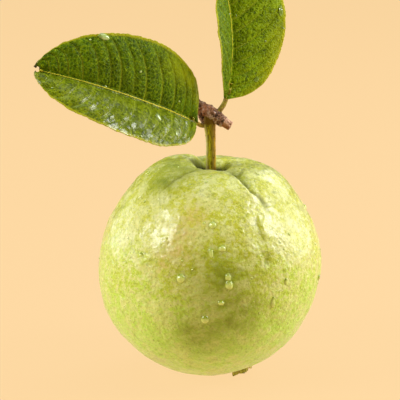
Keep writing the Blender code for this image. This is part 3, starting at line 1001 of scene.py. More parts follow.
def stalk_material(settings):
    material, nodes, shader = new_material("green stalk", IOR=1.22)
    place = nodes.place()
    along = nodes.stretch(place, (1.0, 1.0, 0.22))
    streak = nodes.noise(along, 0.0006, 3.0, 0.6)
    left = nodes.value("left")
    share = nodes.value("share")
    colour = nodes.colour(nodes.range(streak, 0.4, 0.62), settings.green, settings.olive)
    edge = nodes.math("ADD", left, nodes.times(nodes.math("SUBTRACT", streak, 0.5), 0.9))
    colour = nodes.colour(nodes.range(edge, 0.5, 0.85, 0.0, 0.9), colour, settings.pale)
    colour = nodes.colour(nodes.range(edge, 0.1, -0.45, 0.0, 0.75), colour, settings.brown)
    colour = nodes.colour(nodes.range(edge, -0.66, -1.05, 0.0, 0.7), colour, settings.warm)
    low = nodes.math("SUBTRACT", share, nodes.times(streak, 0.35))
    colour = nodes.colour(nodes.range(low, 0.22, -0.08, 0.0, 0.8), colour, settings.brown)
    high = nodes.math("ADD", share, nodes.times(streak, 0.12))
    colour = nodes.colour(nodes.range(high, 0.84, 0.9, 0.0, 0.95), colour, settings.brown)
    specks = nodes.range(nodes.cells(place, 0.0019), 0.2, 0.1)
    colour = nodes.colour(nodes.times(specks, 0.8), colour, settings.speck)
    finish_shader(nodes, shader, colour, 0.5, nodes.bump(streak, 0.0003))
    return material


def bark_material(settings):
    material, nodes, shader = new_material("scaly bark", IOR=1.4)
    place = nodes.place()
    scale = nodes.noise(nodes.warp(place, 0.002, 0.001), 0.0009, 4.0, 0.65)
    colour = nodes.colour(nodes.range(scale, 0.42, 0.53), settings.bark_dark, settings.bark)
    grey = nodes.noise(place, 0.0016, 2.0)
    raised = nodes.range(nodes.value("relief"), -0.05, 0.25)
    dust = nodes.times(nodes.range(grey, 0.47, 0.66), raised)
    colour = nodes.colour(dust, colour, settings.bark_grey)
    torn = nodes.times(nodes.value("torn"), nodes.range(scale, 0.35, 0.6, 0.3, 0.9))
    colour = nodes.colour(torn, colour, settings.torn)
    finish_shader(nodes, shader, colour, 0.8, nodes.bump(scale, 0.0007))
    return material


def wood_material(settings):
    material, nodes, shader = new_material("stripped wood", IOR=1.4)
    place = nodes.place()
    grain = nodes.noise(nodes.warp(place, 0.003, 0.0006), 0.0007, 3.0, 0.6)
    side = nodes.value("upper")
    colour = nodes.colour(nodes.range(side, 0.25, 0.7), settings.torn, settings.wood)
    colour = nodes.colour(nodes.range(grain, 0.5, 0.8, 0.0, 0.6), colour, settings.bark_dark)
    finish_shader(nodes, shader, colour, 0.65, nodes.bump(grain, 0.0004))
    return material


def torn_masks(surface, turn, share):
    """Where the bark was torn: a reddish wound near the stalk, on the side that faces forwards."""
    wound = bell(share - 0.5, 0.09) * ease(-0.5, 0.6, np.sin(turn))
    upper = unit(surface - surface.mean(axis=1, keepdims=True))[..., 2]
    return {"torn": wound, "upper": 0.5 + 0.5 * upper}


def build_stalk(settings):
    stalk = rod("guava_stalk", STALK, STALK_GRID, stalk_relief)
    stalk.data.materials.append(stalk_material(settings))
    hand_over(stalk, "stalk", "fruit_stalk")


def build_twig(settings):
    bark = bark_material(settings)
    wood = wood_material(settings)
    twig = rod("guava_twig", TWIG, BARK_GRID, bark_relief, (0.0, BARK_SHARE), torn_masks)
    twig.data.materials.append(bark)
    hand_over(twig, "bark", "twig")
    bare = (BARK_SHARE - WOOD_OVERLAP, 1.0)
    core = rod("twig_wood", TWIG, WOOD_GRID, wood_relief, bare, torn_masks)
    core.data.materials.append(wood)
    hand_over(core, "bark")
    shoot = rod("twig_side_shoot", SIDE_SHOOT, SHOOT_GRID, shoot_relief, masks=torn_masks)
    shoot.data.materials.append(bark)
    hand_over(shoot, "bark", "side_shoot")


# --- leaves ----------------------------------------------------------------------------------


def by_half(leaf, key, across, index=None):
    """A value of the half that each point lies on."""
    lower, upper = (half[key] if index is None else half[key][index] for half in leaf["halves"])
    return np.where(across > 0.0, upper, lower)


def half_width(leaf, along, across):
    widest = leaf["widest"]
    width = by_half(leaf, "width", across)
    to_base = np.clip((widest - along) / widest, 0.0, 1.0)
    to_tip = np.clip((along - widest) / (1.0 - widest), 0.0, 1.0)
    base = (1.0 - to_base**BLADE_BASE_POWER) ** by_half(leaf, "pointed", across, 0)
    tip = (1.0 - to_tip**BLADE_TIP_POWER) ** by_half(leaf, "pointed", across, 1)
    return width * np.where(along < widest, base, tip)


def blade_surface(leaf, along, across, lift=0.0):
    """Points on the upper face, in mm: along runs from base to tip and across from -1 to 1."""
    point, sideways, face = path_frames(leaf["spine"], along, LEAF_FACING)
    sideways = sideways * np.where(across > 0.0, 1.0, -1.0)[..., None]
    fold = mix(by_half(leaf, "fold", across, 0), by_half(leaf, "fold", across, 1), along)
    fold = np.radians(fold)[..., None]
    outwards = sideways * np.cos(fold) + face * np.sin(fold)
    upwards = face * np.cos(fold) - sideways * np.sin(fold)
    width = np.maximum(half_width(leaf, along, across), BLADE_LEAST_HALF_WIDTH)
    bulge = BLADE_BULGE * np.sin(math.pi * np.abs(across)) * width / by_half(leaf, "width", across)
    return point + outwards * (np.abs(across) * width)[..., None] + upwards * (bulge + lift)[..., None]


def vein_pattern(leaf, along, across, length):
    """How near each point is to a side vein (0 to 1), and how high the blade domes between them."""
    angle = math.radians(leaf["vein_angle"])
    width = half_width(leaf, along, across)
    away = np.abs(across)
    run = along * length - away * width / math.tan(angle) - VEIN_CURL * away**3
    line = np.zeros_like(along)
    dome = np.zeros_like(along)
    for index, half in enumerate(leaf["halves"]):
        here = (across > 0.0) == bool(index)
        veins = np.array(half["veins"], float)
        starts = veins[:, 0] * length
        for start, strength in zip(starts, veins[:, 1]):
            gap = (run - start) * math.sin(angle)
            thin = VEIN_HALF_WIDTH * (1.15 - 0.6 * away)
            fade = strength * (1.0 - ease(0.8, 0.98, away)) * ease(0.0, 0.02, away)
            line = np.where(here, np.maximum(line, bell(gap, thin) * fade), line)
        edges = np.concatenate([[starts[0] - VEIN_END_GAP], starts, [starts[-1] + VEIN_END_GAP]])
        slot = np.clip(np.searchsorted(edges, run) - 1, 0, len(edges) - 2)
        share = np.clip((run - edges[slot]) / (edges[slot + 1] - edges[slot]), 0.0, 1.0)
        dome = np.where(here, np.sin(math.pi * share) ** 0.8, dome)
    return line, dome * ease(0.02, 0.25, away) * (1.0 - ease(0.75, 1.0, away))


def blade_grid():
    """How far along and across the blade each point of its grid lies."""
    stations = crowd_ends(np.linspace(0.0, 1.0, BLADE_STATIONS), BLADE_END_CROWDING)
    along = mix(*BLADE_SPAN, stations)[:, None]
    across = np.linspace(-1.0, 1.0, BLADE_SAMPLES)[None, :]
    return np.broadcast_arrays(along, across)


def spine_length(leaf):
    points = path_points(leaf["spine"], np.linspace(0.0, 1.0, 100))
    return np.linalg.norm(np.diff(points, axis=0), axis=1).sum()


def upper_face(leaf, settings, along, across, veins, dome, midrib):
    """The face with sunken veins, quilted between them, with a wavy and slightly ragged edge."""
    away = np.abs(across)
    length = spine_length(leaf)
    width = half_width(leaf, along, across)
    offset = away * width
    where = np.stack([along * length, across * width, np.full_like(along, leaf["seed"])], axis=-1)
    wave = settings.edge_wave / MM * ease(0.55, 1.0, away) * ease(0.03, 0.15, along)
    gutter_place, gutter_half_width, gutter_depth = GUTTER
    lift = dome * settings.quilting / MM - VEIN_DEPTH * veins + 2.0 * wave * rough(where, 14.0, 2)
    lift += MIDRIB_RISE * midrib - gutter_depth * bell(offset - gutter_place, gutter_half_width)
    lift += 0.1 * rough(where, 2.6, 2)
    top = blade_surface(leaf, along, across, lift)
    bites = rough(where * (1.0, 0.0, 1.0) + (0.0, 1.0, 0.0), 1.6, 3)
    nibble = NIBBLE * bites * ease(0.9, 1.0, away) * ease(0.06, 0.2, along)
    top = top + unit(np.gradient(top, axis=1)) * (np.sign(across) * nibble)[..., None]
    lengthwise = unit(np.gradient(top, axis=0))
    lobe = by_half(leaf, "lobe", across) * ease(0.0, 0.5, away) * (1.0 - ease(0.0, 0.13, along))
    top = top - lengthwise * lobe[..., None]
    ending = ease(1.0 - TIP_LENGTH / length, 1.0, along)
    notch = bell(offset, 0.9) - 0.5 * (across > 0.0) * bell(away - 0.8, 0.25)
    return top - lengthwise * (leaf["notch"] * ending * notch)[..., None]


def lower_face(leaf, settings, top, along, across, veins, dome):
    """The face under the upper one, the blade's thickness away, with a proud midrib and veins."""
    away = np.abs(across)
    offset = away * half_width(leaf, along, across)
    normal = unit(np.cross(np.gradient(top, axis=0), np.gradient(top, axis=1)))
    normal = normal * np.sign((normal @ np.array(LEAF_FACING)).mean())
    rib = mix(*MIDRIB_HEIGHT, along) * bell(offset, mix(MIDRIB_HALF_WIDTH, 0.5, along))
    thickness = settings.thickness / MM * mix(1.0, 0.6, ease(0.85, 1.0, away))
    below = thickness + rib + VEIN_DEPTH * veins * (1.0 - 0.7 * away) + 0.15 * dome
    return top - normal * below[..., None]


def both_faces(upper, lower):
    """Rings that run over the upper face and back over the lower one."""
    return np.concatenate([upper, lower[:, ::-1]], axis=1)


def blade_masks(along, across, veins, midrib):
    """What the material reads: one number for the whole petiole, then the blade's own values."""
    petiole_and_blade = {
        "vein": (0.0, veins),
        "midrib": (1.0, midrib),
        "edge": (0.0, ease(0.93, 0.985, np.abs(across))),
        "petiole": (1.0, (1.0 - ease(0.02, 0.05, along)) * midrib),
        "share": (0.0, along),
        "across": (0.0, across),
        "tip": (0.0, ease(0.985, 1.0, along) * (across > 0.05)),
    }
    masks = {}
    for key, (on_petiole, on_blade) in petiole_and_blade.items():
        petiole = np.full((PETIOLE_STATIONS, 2 * BLADE_SAMPLES), on_petiole)
        masks[key] = np.concatenate([petiole, both_faces(on_blade, on_blade)])
    masks["upper"] = np.zeros_like(masks["share"])
    masks["upper"][:, :BLADE_SAMPLES] = 1.0
    masks["wet"] = masks["upper"] * (masks["share"] > 0.05) * (1.0 - masks["edge"])
    return masks


def build_blade(name, leaf, settings):
    """One loft that starts as a round petiole and goes on as the folded, veined blade."""
    along, across = blade_grid()
    veins, dome = vein_pattern(leaf, along, across, spine_length(leaf))
    offset = np.abs(across) * half_width(leaf, along, across)
    midrib = bell(offset, MIDRIB_LINE_HALF_WIDTH * mix(1.3, 0.6, along))
    top = upper_face(leaf, settings, along, across, veins, dome, midrib)
    bottom = lower_face(leaf, settings, top, along, across, veins, dome)
    petiole = petiole_rings(leaf)
    blade = blend_root(petiole[-1], both_faces(top, bottom), along[:, 0])
    masks = blade_masks(along, across, veins, midrib)
    return loft(name, np.concatenate([petiole, blade]), masks, strip_caps=True)


def petiole_rings(leaf):
    share = np.linspace(0.0, 1.0, PETIOLE_STATIONS, endpoint=False)
    centre, sideways, face = path_frames(leaf["petiole"], share, LEAF_FACING)
    radius = mix(*leaf["petiole_radius"], share)[:, None]
    turn = math.pi * (1.0 - (np.arange(2 * BLADE_SAMPLES) + 0.5) / BLADE_SAMPLES)
    outwards = spokes(sideways, face, turn)
    surface = centre[:, None] + outwards * radius[..., None]
    swell = 0.08 * rough(surface, 0.9, 3)
    return centre[:, None] + outwards * (radius + swell)[..., None]


def blend_root(last_ring, blade, along):
    """Let the first blade sections grow out of the round end of the petiole."""
    drift = last_ring - blade[0]
    weight = 1.0 - ease(BLADE_SPAN[0], BLADE_SPAN[0] + ROOT_SHARE, along)
    return blade + drift[None] * weight[:, None, None]


def leaf_material(settings, name, leaf):
    """Blade with thin pale veins; yellow-green glows on one stretch of its edge, and one half shines."""
    material, nodes, shader = new_material(name, IOR=1.17, Coat_Roughness=0.22, Coat_IOR=1.5)
    place = nodes.place()
    upper = nodes.value("upper")
    patch = nodes.noise(place, 0.008, 3.0, 0.6)
    fine = nodes.noise(place, 0.001, 3.0, 0.65)
    net = nodes.cells(nodes.warp(place, 0.0025, 0.001), 0.0017, "DISTANCE_TO_EDGE")
    net = nodes.range(net, 0.0, 0.2)
    lower_half = nodes.range(nodes.value("across"), 0.05, -0.1)
    colour = leaf_green(nodes, settings, leaf, place, patch, fine, net, lower_half)
    under = nodes.colour(nodes.range(fine, 0.4, 0.7), settings.under, settings.blade_light)
    colour = nodes.colour(upper, under, colour)
    colour = leaf_lines(nodes, settings, leaf, colour, fine)
    relief = nodes.math("ADD", nodes.times(net, 0.5), nodes.times(fine, 1.5))
    beads = nodes.range(nodes.noise(place, 0.0018, 3.0, 0.6), 0.38, 0.55)
    shine = leaf["shine"]
    glossy = nodes.range(nodes.value("share"), 0.6, 0.85, shine, 0.4 * shine)
    film = nodes.times(nodes.times(nodes.range(patch, 0.42, 0.5), beads), lower_half)
    film = nodes.times(film, nodes.times(upper, glossy))
    nodes.tree.links.new(film, shader.inputs["Coat Weight"])
    roughness = nodes.range(patch, 0.3, 0.7, 0.28, 0.42)
    finish_shader(nodes, shader, colour, roughness, nodes.bump(relief, 0.00024))
    return material


def leaf_green(nodes, settings, leaf, place, patch, fine, net, lower_half):
    """The upper face between its veins: mottled green with its own tone below the midrib."""
    tone = getattr(settings, leaf["tone"])
    mottle = nodes.noise(nodes.warp(place, 0.003, 0.001), 0.0034, 3.0, 0.6)
    dim = nodes.times(nodes.range(mottle, 0.54, 0.42), nodes.times(lower_half, leaf["shine"]))
    start, end = leaf["glow"]
    stretch = nodes.range(nodes.value("share"), end, end - 0.25)
    stretch = nodes.times(stretch, nodes.range(nodes.value("across"), start, start + 0.5))
    glow = nodes.range(patch, 0.3, 0.6, 0.4, 1.0)
    colour = nodes.colour(nodes.range(patch, 0.35, 0.65), [0.6 * part for part in tone], tone)
    # Painted light: the left leaf's lower half, turned to the light, takes the paler blade_pale tone.
    colour = nodes.colour(lower_half, colour, getattr(settings, leaf["lower_tone"]))
    colour = nodes.colour(nodes.range(fine, 0.52, 0.7, 0.0, 0.85), colour, settings.blade_light)
    colour = nodes.colour(nodes.range(fine, 0.5, 0.36, 0.0, 0.85), colour, settings.blade_dark)
    colour = nodes.layer(colour, dim, 0.5, settings.blade_dark)
    colour = nodes.colour(nodes.range(net, 1.0, 0.0, 0.0, 0.25), colour, settings.blade_light)
    return nodes.layer(colour, stretch, glow, settings.blade_yellow)


def leaf_lines(nodes, settings, leaf, colour, fine):
    """Veins, edge, midrib with painted shade on its flanks, petiole and dry tip."""
    midrib = nodes.value("midrib")
    # Painted shade: the midrib's flanks are darkened.
    beside = nodes.times(nodes.range(midrib, 0.02, 0.25), nodes.range(fine, 0.4, 0.6))
    clear = nodes.range(nodes.value("share"), 0.03, 0.1, 0.25, 1.0)
    light, dark = (getattr(settings, tone) for tone in leaf["petiole_tones"])
    stalk = nodes.colour(nodes.range(fine, 0.35, 0.7), light, dark)
    colour = nodes.layer(colour, nodes.value("vein"), 0.95, settings.vein)
    colour = nodes.layer(colour, nodes.value("edge"), 0.75, settings.edge)
    colour = nodes.layer(colour, beside, 0.5, settings.blade_dark)
    colour = nodes.layer(colour, nodes.range(midrib, 0.35, 0.8), clear, settings.midrib)
    colour = nodes.colour(nodes.value("petiole"), colour, stalk)
    return nodes.colour(nodes.value("tip"), colour, settings.tip)


def build_leaves(settings):
    for name, leaf in LEAVES.items():
        blade = build_blade(name + "_blade", leaf, settings)
        blade.data.materials.append(leaf_material(settings, name.replace("_", " "), leaf))
        hand_over(blade, "leaf", name)


# --- calyx -----------------------------------------------------------------------------------


def calyx_frame():
    """Middle of the dimple, two directions along the skin there and the one out of it."""
    out = direction_at(CALYX_TILT, CALYX_HEADING)
    level = unit(np.cross((0.0, 0.0, 1.0), out))
    middle = skin_points(np.atleast_2d(out))[0][0]
    return middle, np.cross(out, level), level, out


def build_sepal(name, heading, length, half, foot_lean, tip_lean, seed):
    """A dried scale, ribbed and ragged, that curls outwards or in over the disc."""
    centre, uphill, level, out = calyx_frame()
    turn = math.radians(heading)
    radial = uphill * math.cos(turn) + level * math.sin(turn)
    side = np.cross(out, radial)
    place = centre + radial * SEPAL_RING_RADIUS + out * SEPAL_FOOT_HEIGHT
    across = np.linspace(-1.0, 1.0, SEPAL_SAMPLES)
    shares = np.linspace(0.0, 1.0, SEPAL_STATIONS)
    step = length / (SEPAL_STATIONS - 1)
    rings = []
    for share in shares:
        lean = math.radians(mix(foot_lean, tip_lean, share))
        back = radial * math.cos(lean) - out * math.sin(lean)
        ragged = 0.16 * noise.noise(Vector((share * 7.0, seed, 0.0))) * half
        reach = max(half * (1.0 - share**SEPAL_POINT) + ragged * share, 0.12)
        cup = -0.3 * (1.0 - across**2)
        ribs = 0.07 * np.sin(across * 11.0 + seed) + 0.12 * np.sin(share * 9.0 + across * 3.0)
        inner = place + side * (across * reach)[:, None] - back * (cup + ribs)[:, None] * 0.6
        thick = SEPAL_THICKNESS * mix(1.0, 0.45, share) * (1.0 - 0.5 * np.abs(across) ** 3)
        outer = inner + back * thick[:, None]
        rings.append(np.concatenate([inner, outer[::-1]]))
        place = place + (out * math.cos(lean) + radial * math.sin(lean)) * step
    share = np.repeat(shares[:, None], 2 * SEPAL_SAMPLES, axis=1)
    return loft(name, np.array(rings), {"share": share}, strip_caps=True)


def build_disc():
    """The dried disc: a shallow bowl with a raised ragged rim and the stump of the style."""
    centre, uphill, level, out = calyx_frame()
    share = np.linspace(0.0, 1.0, DISC_STATIONS)
    turn = np.linspace(0.0, math.tau, DISC_SIDES, endpoint=False)
    reach = DISC_RADIUS * np.sin(share * math.pi / 2) ** 0.7
    reach = np.concatenate([reach[1:], reach[::-1][1:-1]])
    top = 0.55 + 0.35 * bell(share - 0.85, 0.12) + 0.5 * bell(share, 0.12)
    height = np.concatenate([top[1:] * DISC_THICKNESS, np.zeros(DISC_STATIONS - 2)])
    ragged = 1.0 + 0.05 * np.sin(turn * 7.0 + 1.0) + 0.03 * np.sin(turn * 13.0)
    radial = uphill * np.cos(turn)[:, None] + level * np.sin(turn)[:, None]
    foot = centre + out * DISC_FOOT_HEIGHT
    rings = foot + radial[None] * (reach[:, None] * ragged[None])[..., None] + out * height[:, None, None]
    rings = rings + out * (0.12 * rough(rings, 0.7, 3) * (height[:, None] > 0.0))[..., None]
    share = np.repeat(np.linspace(0.0, 0.5, len(reach))[:, None], DISC_SIDES, axis=1)
    return loft("calyx_disc", rings, {"share": share})


def calyx_material(settings):
    material, nodes, shader = new_material("dried calyx", IOR=1.4)
    place = nodes.place()
    grain = nodes.noise(nodes.warp(place, 0.002, 0.0008), 0.0008, 4.0, 0.65)
    patch = nodes.noise(place, 0.0024, 2.0)
    colour = nodes.colour(nodes.range(grain, 0.35, 0.65), settings.brown, settings.olive)
    colour = nodes.colour(nodes.range(patch, 0.5, 0.7, 0.0, 0.6), colour, settings.grey)
    colour = nodes.colour(nodes.range(nodes.value("share"), 0.88, 1.0, 0.0, 0.8), colour, settings.dark)
    finish_shader(nodes, shader, colour, 0.75, nodes.bump(grain, 0.0004))
    return material


def stamen_tree():
    """Dried filaments standing round the rim of the disc."""
    sizes = [("Count", "Int", 34), ("Length", "Float", 0.0014), ("Thickness", "Float", 0.00009),
             ("Seed", "Int", 5), ("Dried", "Material", None)]
    tree, nodes, inputs = new_geometry_tree("Stamens", sizes)
    points = nodes.add("GeometryNodeMeshToPoints", {"Mesh": inputs["Geometry"]})
    tip = nodes.add("ShaderNodeCombineXYZ", {"X": 0.0, "Y": 0.0, "Z": inputs["Length"]})
    line = nodes.add("GeometryNodeCurveQuadraticBezier", {
        "Resolution": 5, "Start": (0.0, 0.0, 0.0), "Middle": (0.0002, 0.0, 0.0006), "End": tip.outputs[0]})
    section = nodes.add("GeometryNodeCurvePrimitiveCircle", {"Resolution": 5, "Radius": inputs["Thickness"]})
    thread = nodes.add("GeometryNodeCurveToMesh", {
        "Curve": line.outputs[0], "Profile Curve": section.outputs[0], "Fill Caps": True})
    spin = nodes.add("FunctionNodeEulerToRotation", {0: nodes.stored("turn", "FLOAT_VECTOR")})
    scale = nodes.add("FunctionNodeRandomValue", {
        "Min": (0.7, 0.7, 0.7), "Max": (1.2, 1.2, 1.2), "Seed": inputs["Seed"]}, data_type="FLOAT_VECTOR")
    placed = nodes.add("GeometryNodeInstanceOnPoints", {
        "Points": points.outputs[0], "Instance": thread.outputs[0],
        "Rotation": spin.outputs[0], "Scale": scale.outputs[0]})
    end_tree(nodes, placed, inputs["Dried"])
    return tree


def build_stamens(settings, material):
    """Filaments round the rim of the disc, each leaning a little in or out."""
    centre, uphill, level, out = calyx_frame()
    ring, sway = STAMEN_RING
    places, turns = [], []
    for index in range(settings.stamens):
        turn = math.tau * (index + 0.3 * math.sin(index * 2.4)) / settings.stamens
        radial = uphill * math.cos(turn) + level * math.sin(turn)
        reach = DISC_RADIUS * (ring + sway * math.sin(index * 5.0))
        places.append(centre + radial * reach + out * STAMEN_FOOT_HEIGHT)
        lean = unit(out + radial * STAMEN_LEAN * math.sin(index * 1.7))
        turns.append(Vector(lean).to_track_quat("Z", "Y").to_euler()[:])
    stamens = points_piece("calyx_stamens", places, {"turn": turns})
    use_tree(stamens, stamen_tree(), {"Length": settings.stamen_length, "Dried": material})
    hand_over(settle(stamens), "calyx")


def build_calyx(settings):
    material = calyx_material(settings)
    for number, shape in enumerate(SEPALS, start=1):
        sepal = build_sepal("calyx_sepal_" + str(number), *shape, seed=number * 3.1)
        sepal.data.materials.append(material)
        hand_over(sepal, "calyx", "sepal_" + str(number))
    disc = build_disc()
    disc.data.materials.append(material)
    hand_over(disc, "calyx", "flower_disc")
    build_stamens(settings, material)


# --- water -----------------------------------------------------------------------------------


def with_own_place(nodes, bead):
    """Keep on each point of a bead where it lies in the bead, from -0.5 to 0.5."""
    return nodes.add("GeometryNodeStoreNamedAttribute", {
        "Geometry": bead.outputs[0], "Name": "bead", "Value": nodes.place()},
        data_type="FLOAT_VECTOR", domain="POINT")


def flat_underneath(nodes, bead):
    """Press the lower half of a bead into a thin foot, so that it can't reach through a leaf."""
    side, down, up = nodes.add("ShaderNodeSeparateXYZ", {0: nodes.place()}).outputs
    foot = nodes.math("MAXIMUM", up, -BEAD_FOOT)
    place = nodes.add("ShaderNodeCombineXYZ", {"X": side, "Y": down, "Z": foot})
    return nodes.add("GeometryNodeSetPosition", {"Geometry": bead.outputs[0], "Position": place.outputs[0]})


def placed_beads(nodes, inputs):
    """A large bead on each given point, turned and scaled as the point says."""
    bead = nodes.add("GeometryNodeMeshUVSphere", {"Segments": 28, "Rings": 16, "Radius": 0.5})
    bead = flat_underneath(nodes, with_own_place(nodes, bead))
    spin = nodes.add("FunctionNodeEulerToRotation", {0: nodes.stored("turn", "FLOAT_VECTOR")})
    points = nodes.add("GeometryNodeMeshToPoints", {"Mesh": inputs["Geometry"]})
    return nodes.add("GeometryNodeInstanceOnPoints", {
        "Points": points.outputs[0], "Instance": bead.outputs[0],
        "Rotation": spin.outputs[0], "Scale": nodes.stored("size", "FLOAT_VECTOR")})


def strewn_beads(nodes, inputs):
    """Small beads strewn over the wet part of the host, half as high as they are wide."""
    host = nodes.add("GeometryNodeObjectInfo", {"Object": inputs["Host"]})
    strewn = nodes.add("GeometryNodeDistributePointsOnFaces", {
        "Mesh": host.outputs["Geometry"], "Distance Min": inputs["Spacing"],
        "Density Max": inputs["Density"], "Density Factor": nodes.value("wet"),
        "Seed": inputs["Seed"]}, distribute_method="POISSON")
    wide = nodes.add("FunctionNodeRandomValue", {
        2: inputs["Smallest"], 3: inputs["Largest"], "Seed": inputs["Seed"]}, data_type="FLOAT").outputs[1]
    scale = nodes.add("ShaderNodeCombineXYZ", {"X": wide, "Y": wide, "Z": nodes.times(wide, 0.5)})
    small = with_own_place(nodes, nodes.add("GeometryNodeMeshIcoSphere", {"Radius": 0.5, "Subdivisions": 2}))
    return nodes.add("GeometryNodeInstanceOnPoints", {
        "Points": strewn.outputs["Points"], "Instance": small.outputs[0],
        "Rotation": strewn.outputs["Rotation"], "Scale": scale.outputs[0]})


def drops_tree():
    """Flattened beads on the given points, and smaller ones strewn over the wet part of a host."""
    sizes = [("Host", "Object", None), ("Density", "Float", 1500.0), ("Spacing", "Float", 0.003),
             ("Smallest", "Float", 0.0005), ("Largest", "Float", 0.0012), ("Seed", "Int", 3),
             ("Unevenness", "Float", 0.0005), ("Water", "Material", None)]
    tree, nodes, inputs = new_geometry_tree("Water drops", sizes)
    both = nodes.add("GeometryNodeJoinGeometry")
    for beads in (placed_beads(nodes, inputs), strewn_beads(nodes, inputs)):
        tree.links.new(beads.outputs[0], both.inputs[0])
    whole = nodes.add("GeometryNodeRealizeInstances", {"Geometry": both.outputs[0]})
    push = nodes.add("ShaderNodeTexNoise", {"Vector": nodes.place(), "Scale": 420.0, "Detail": 1.0})
    offset = nodes.vector("SUBTRACT", push.outputs["Color"], (0.5, 0.5, 0.5))
    offset = nodes.vector("SCALE", offset, inputs["Unevenness"])
    uneven = nodes.add("GeometryNodeSetPosition", {"Geometry": whole.outputs[0], "Offset": offset})
    smooth = nodes.add("GeometryNodeSetShadeSmooth", {"Geometry": uneven.outputs[0]})
    end_tree(nodes, smooth, inputs["Water"])
    return tree


def water_material(name, lit_tint, shade):
    """Water that carries some of the colour under it, with painted light: painted shade dims its rim and
    upper side, and a painted highlight of focused light brightens it low down.
    """
    material, nodes, shader = new_material(
        name, IOR=1.33, Transmission_Weight=0.3, Coat_Weight=1.0, Coat_Roughness=0.06, Coat_IOR=1.6)
    bead = nodes.add("ShaderNodeAttribute", attribute_name="bead").outputs["Vector"]
    down, up = nodes.add("ShaderNodeSeparateXYZ", {0: bead}).outputs[1:]
    # Painted light: low down the bead is lit, its upper side and rim are shaded.
    lit = nodes.math("ADD", nodes.times(down, 1.3), up)
    colour = nodes.colour(nodes.range(lit, -0.2, 0.5), shade, lit_tint)
    colour = nodes.colour(nodes.range(up, 0.34, 0.2, 0.0, 0.55), colour, shade)
    ripple = nodes.noise(nodes.place(), 0.002, 1.0)
    finish_shader(nodes, shader, colour, 0.05, nodes.bump(ripple, 0.0001))
    return material


def bead_rotation(normal, downhill, slant):
    """Turn that stands a bead on the normal with its length down the slope, then slants it."""
    normal = Vector(normal).normalized()
    downhill = Vector(downhill) - normal * Vector(downhill).dot(normal)
    downhill.normalize()
    side = downhill.cross(normal)
    matrix = Matrix((side, downhill, normal)).transposed()
    matrix = matrix @ Matrix.Rotation(math.radians(slant), 3, "Z")
    return matrix.to_euler()[:]


def surface_hits(piece, starts, directions):
    """Where rays meet a piece, with the normals there."""
    bm = bmesh.new()
    bm.from_mesh(piece.data)
    tree = BVHTree.FromBMesh(bm)
    bm.free()
    hits = []
    for start, direction in zip(starts, directions):
        place, normal = tree.ray_cast(Vector(start) * MM, Vector(direction))[:2]
        hits.append((np.array(place) / MM, normal))
    return hits


def wet_piece(name, host, hits, sizes, settings, seed, density, water):
    """Beads of the given sizes at the hits, with small ones strewn round them."""
    slot = "skin" if "fruit" in name else "leaf"
    places, turns, scales = [], [], []
    for (place, normal), (width, length, slant) in zip(hits, sizes):
        height = settings.drop_height * width
        sunk = settings.drop_sink * height
        if slot == "leaf":
            height += LEAF_DROP_SINK - sunk
            sunk = LEAF_DROP_SINK
        places.append(place - np.array(normal) * sunk)
        turns.append(bead_rotation(normal, (0.0, 0.0, -1.0), slant))
        scales.append((width * MM, length * MM, 2.0 * height * MM))
    drops = points_piece(name, places, {"turn": turns, "size": scales})
    tree = bpy.data.node_groups.get("Water drops") or drops_tree()
    use_tree(drops, tree, {"Host": host, "Density": density, "Seed": seed, "Water": water})
    hand_over(settle(drops), slot)


def leaf_hits(piece, leaf, places):
    """Upper-face places of a leaf, found by looking at it from just above."""
    along, across = (np.array([place[axis] for place in places]) for axis in range(2))
    above = blade_surface(leaf, along, across, lift=6.0)
    on_it = blade_surface(leaf, along, across)
    return surface_hits(piece, above, on_it - above)


def build_drops(settings):
    on_fruit = water_material("water on the fruit", settings.fruit_water, settings.fruit_shade)
    on_leaf = water_material("water on the leaves", settings.leaf_water, settings.leaf_shade)
    fruit = bpy.data.objects["guava_fruit"]
    aims = [direction_at(*row[0]) for row in FRUIT_DROPS]
    middle = np.array([LEAN, 0.0, FRUIT_CENTRE_Z])
    starts = [middle + aim * FRUIT_RADIUS * 1.5 for aim in aims]
    hits = surface_hits(fruit, starts, [-aim for aim in aims])
    sizes = [row[1:] for row in FRUIT_DROPS]
    wet_piece("fruit_drops", fruit, hits, sizes, settings, FRUIT_DROP_SEED, settings.fruit_density, on_fruit)
    for name, leaf in LEAVES.items():
        blade = bpy.data.objects[name + "_blade"]
        hits = leaf_hits(blade, leaf, [row[0] for row in leaf["drops"]])
        sizes = [row[1:] for row in leaf["drops"]]
        density = settings.leaf_density
        wet_piece(name + "_drops", blade, hits, sizes, settings, leaf["drop_seed"], density, on_leaf)


# --- stage -----------------------------------------------------------------------------------


def floor_material(settings):
    """Matt paper that mostly glows evenly by itself, so its tone stays level under the lights."""
    material, nodes, shader = new_material("paper floor", IOR=1.3, Roughness=0.9)
    place = nodes.place()
    fibre = nodes.noise(place, 0.0015, 3.0)
    paper = [tone * settings.paper_share for tone in settings.paper]
    colour = nodes.colour(nodes.range(fibre, 0.3, 0.7), paper, [tone * 0.96 for tone in paper])
    finish_shader(nodes, shader, colour, 0.9, nodes.bump(fibre, 0.00001))
    shader.inputs["Emission Color"].default_value = (*settings.paper[:3], 1.0)
    shader.inputs["Emission Strength"].default_value = settings.paper_glow
    return material


def build_floor(settings):
    bpy.ops.mesh.primitive_circle_add(vertices=FLOOR_SIDES, radius=settings.floor_radius, fill_type="NGON")
    floor = bpy.context.object
    floor.name = "floor"
    floor.location.z = -FLOOR_GAP * MM
    floor.data.materials.append(floor_material(settings))


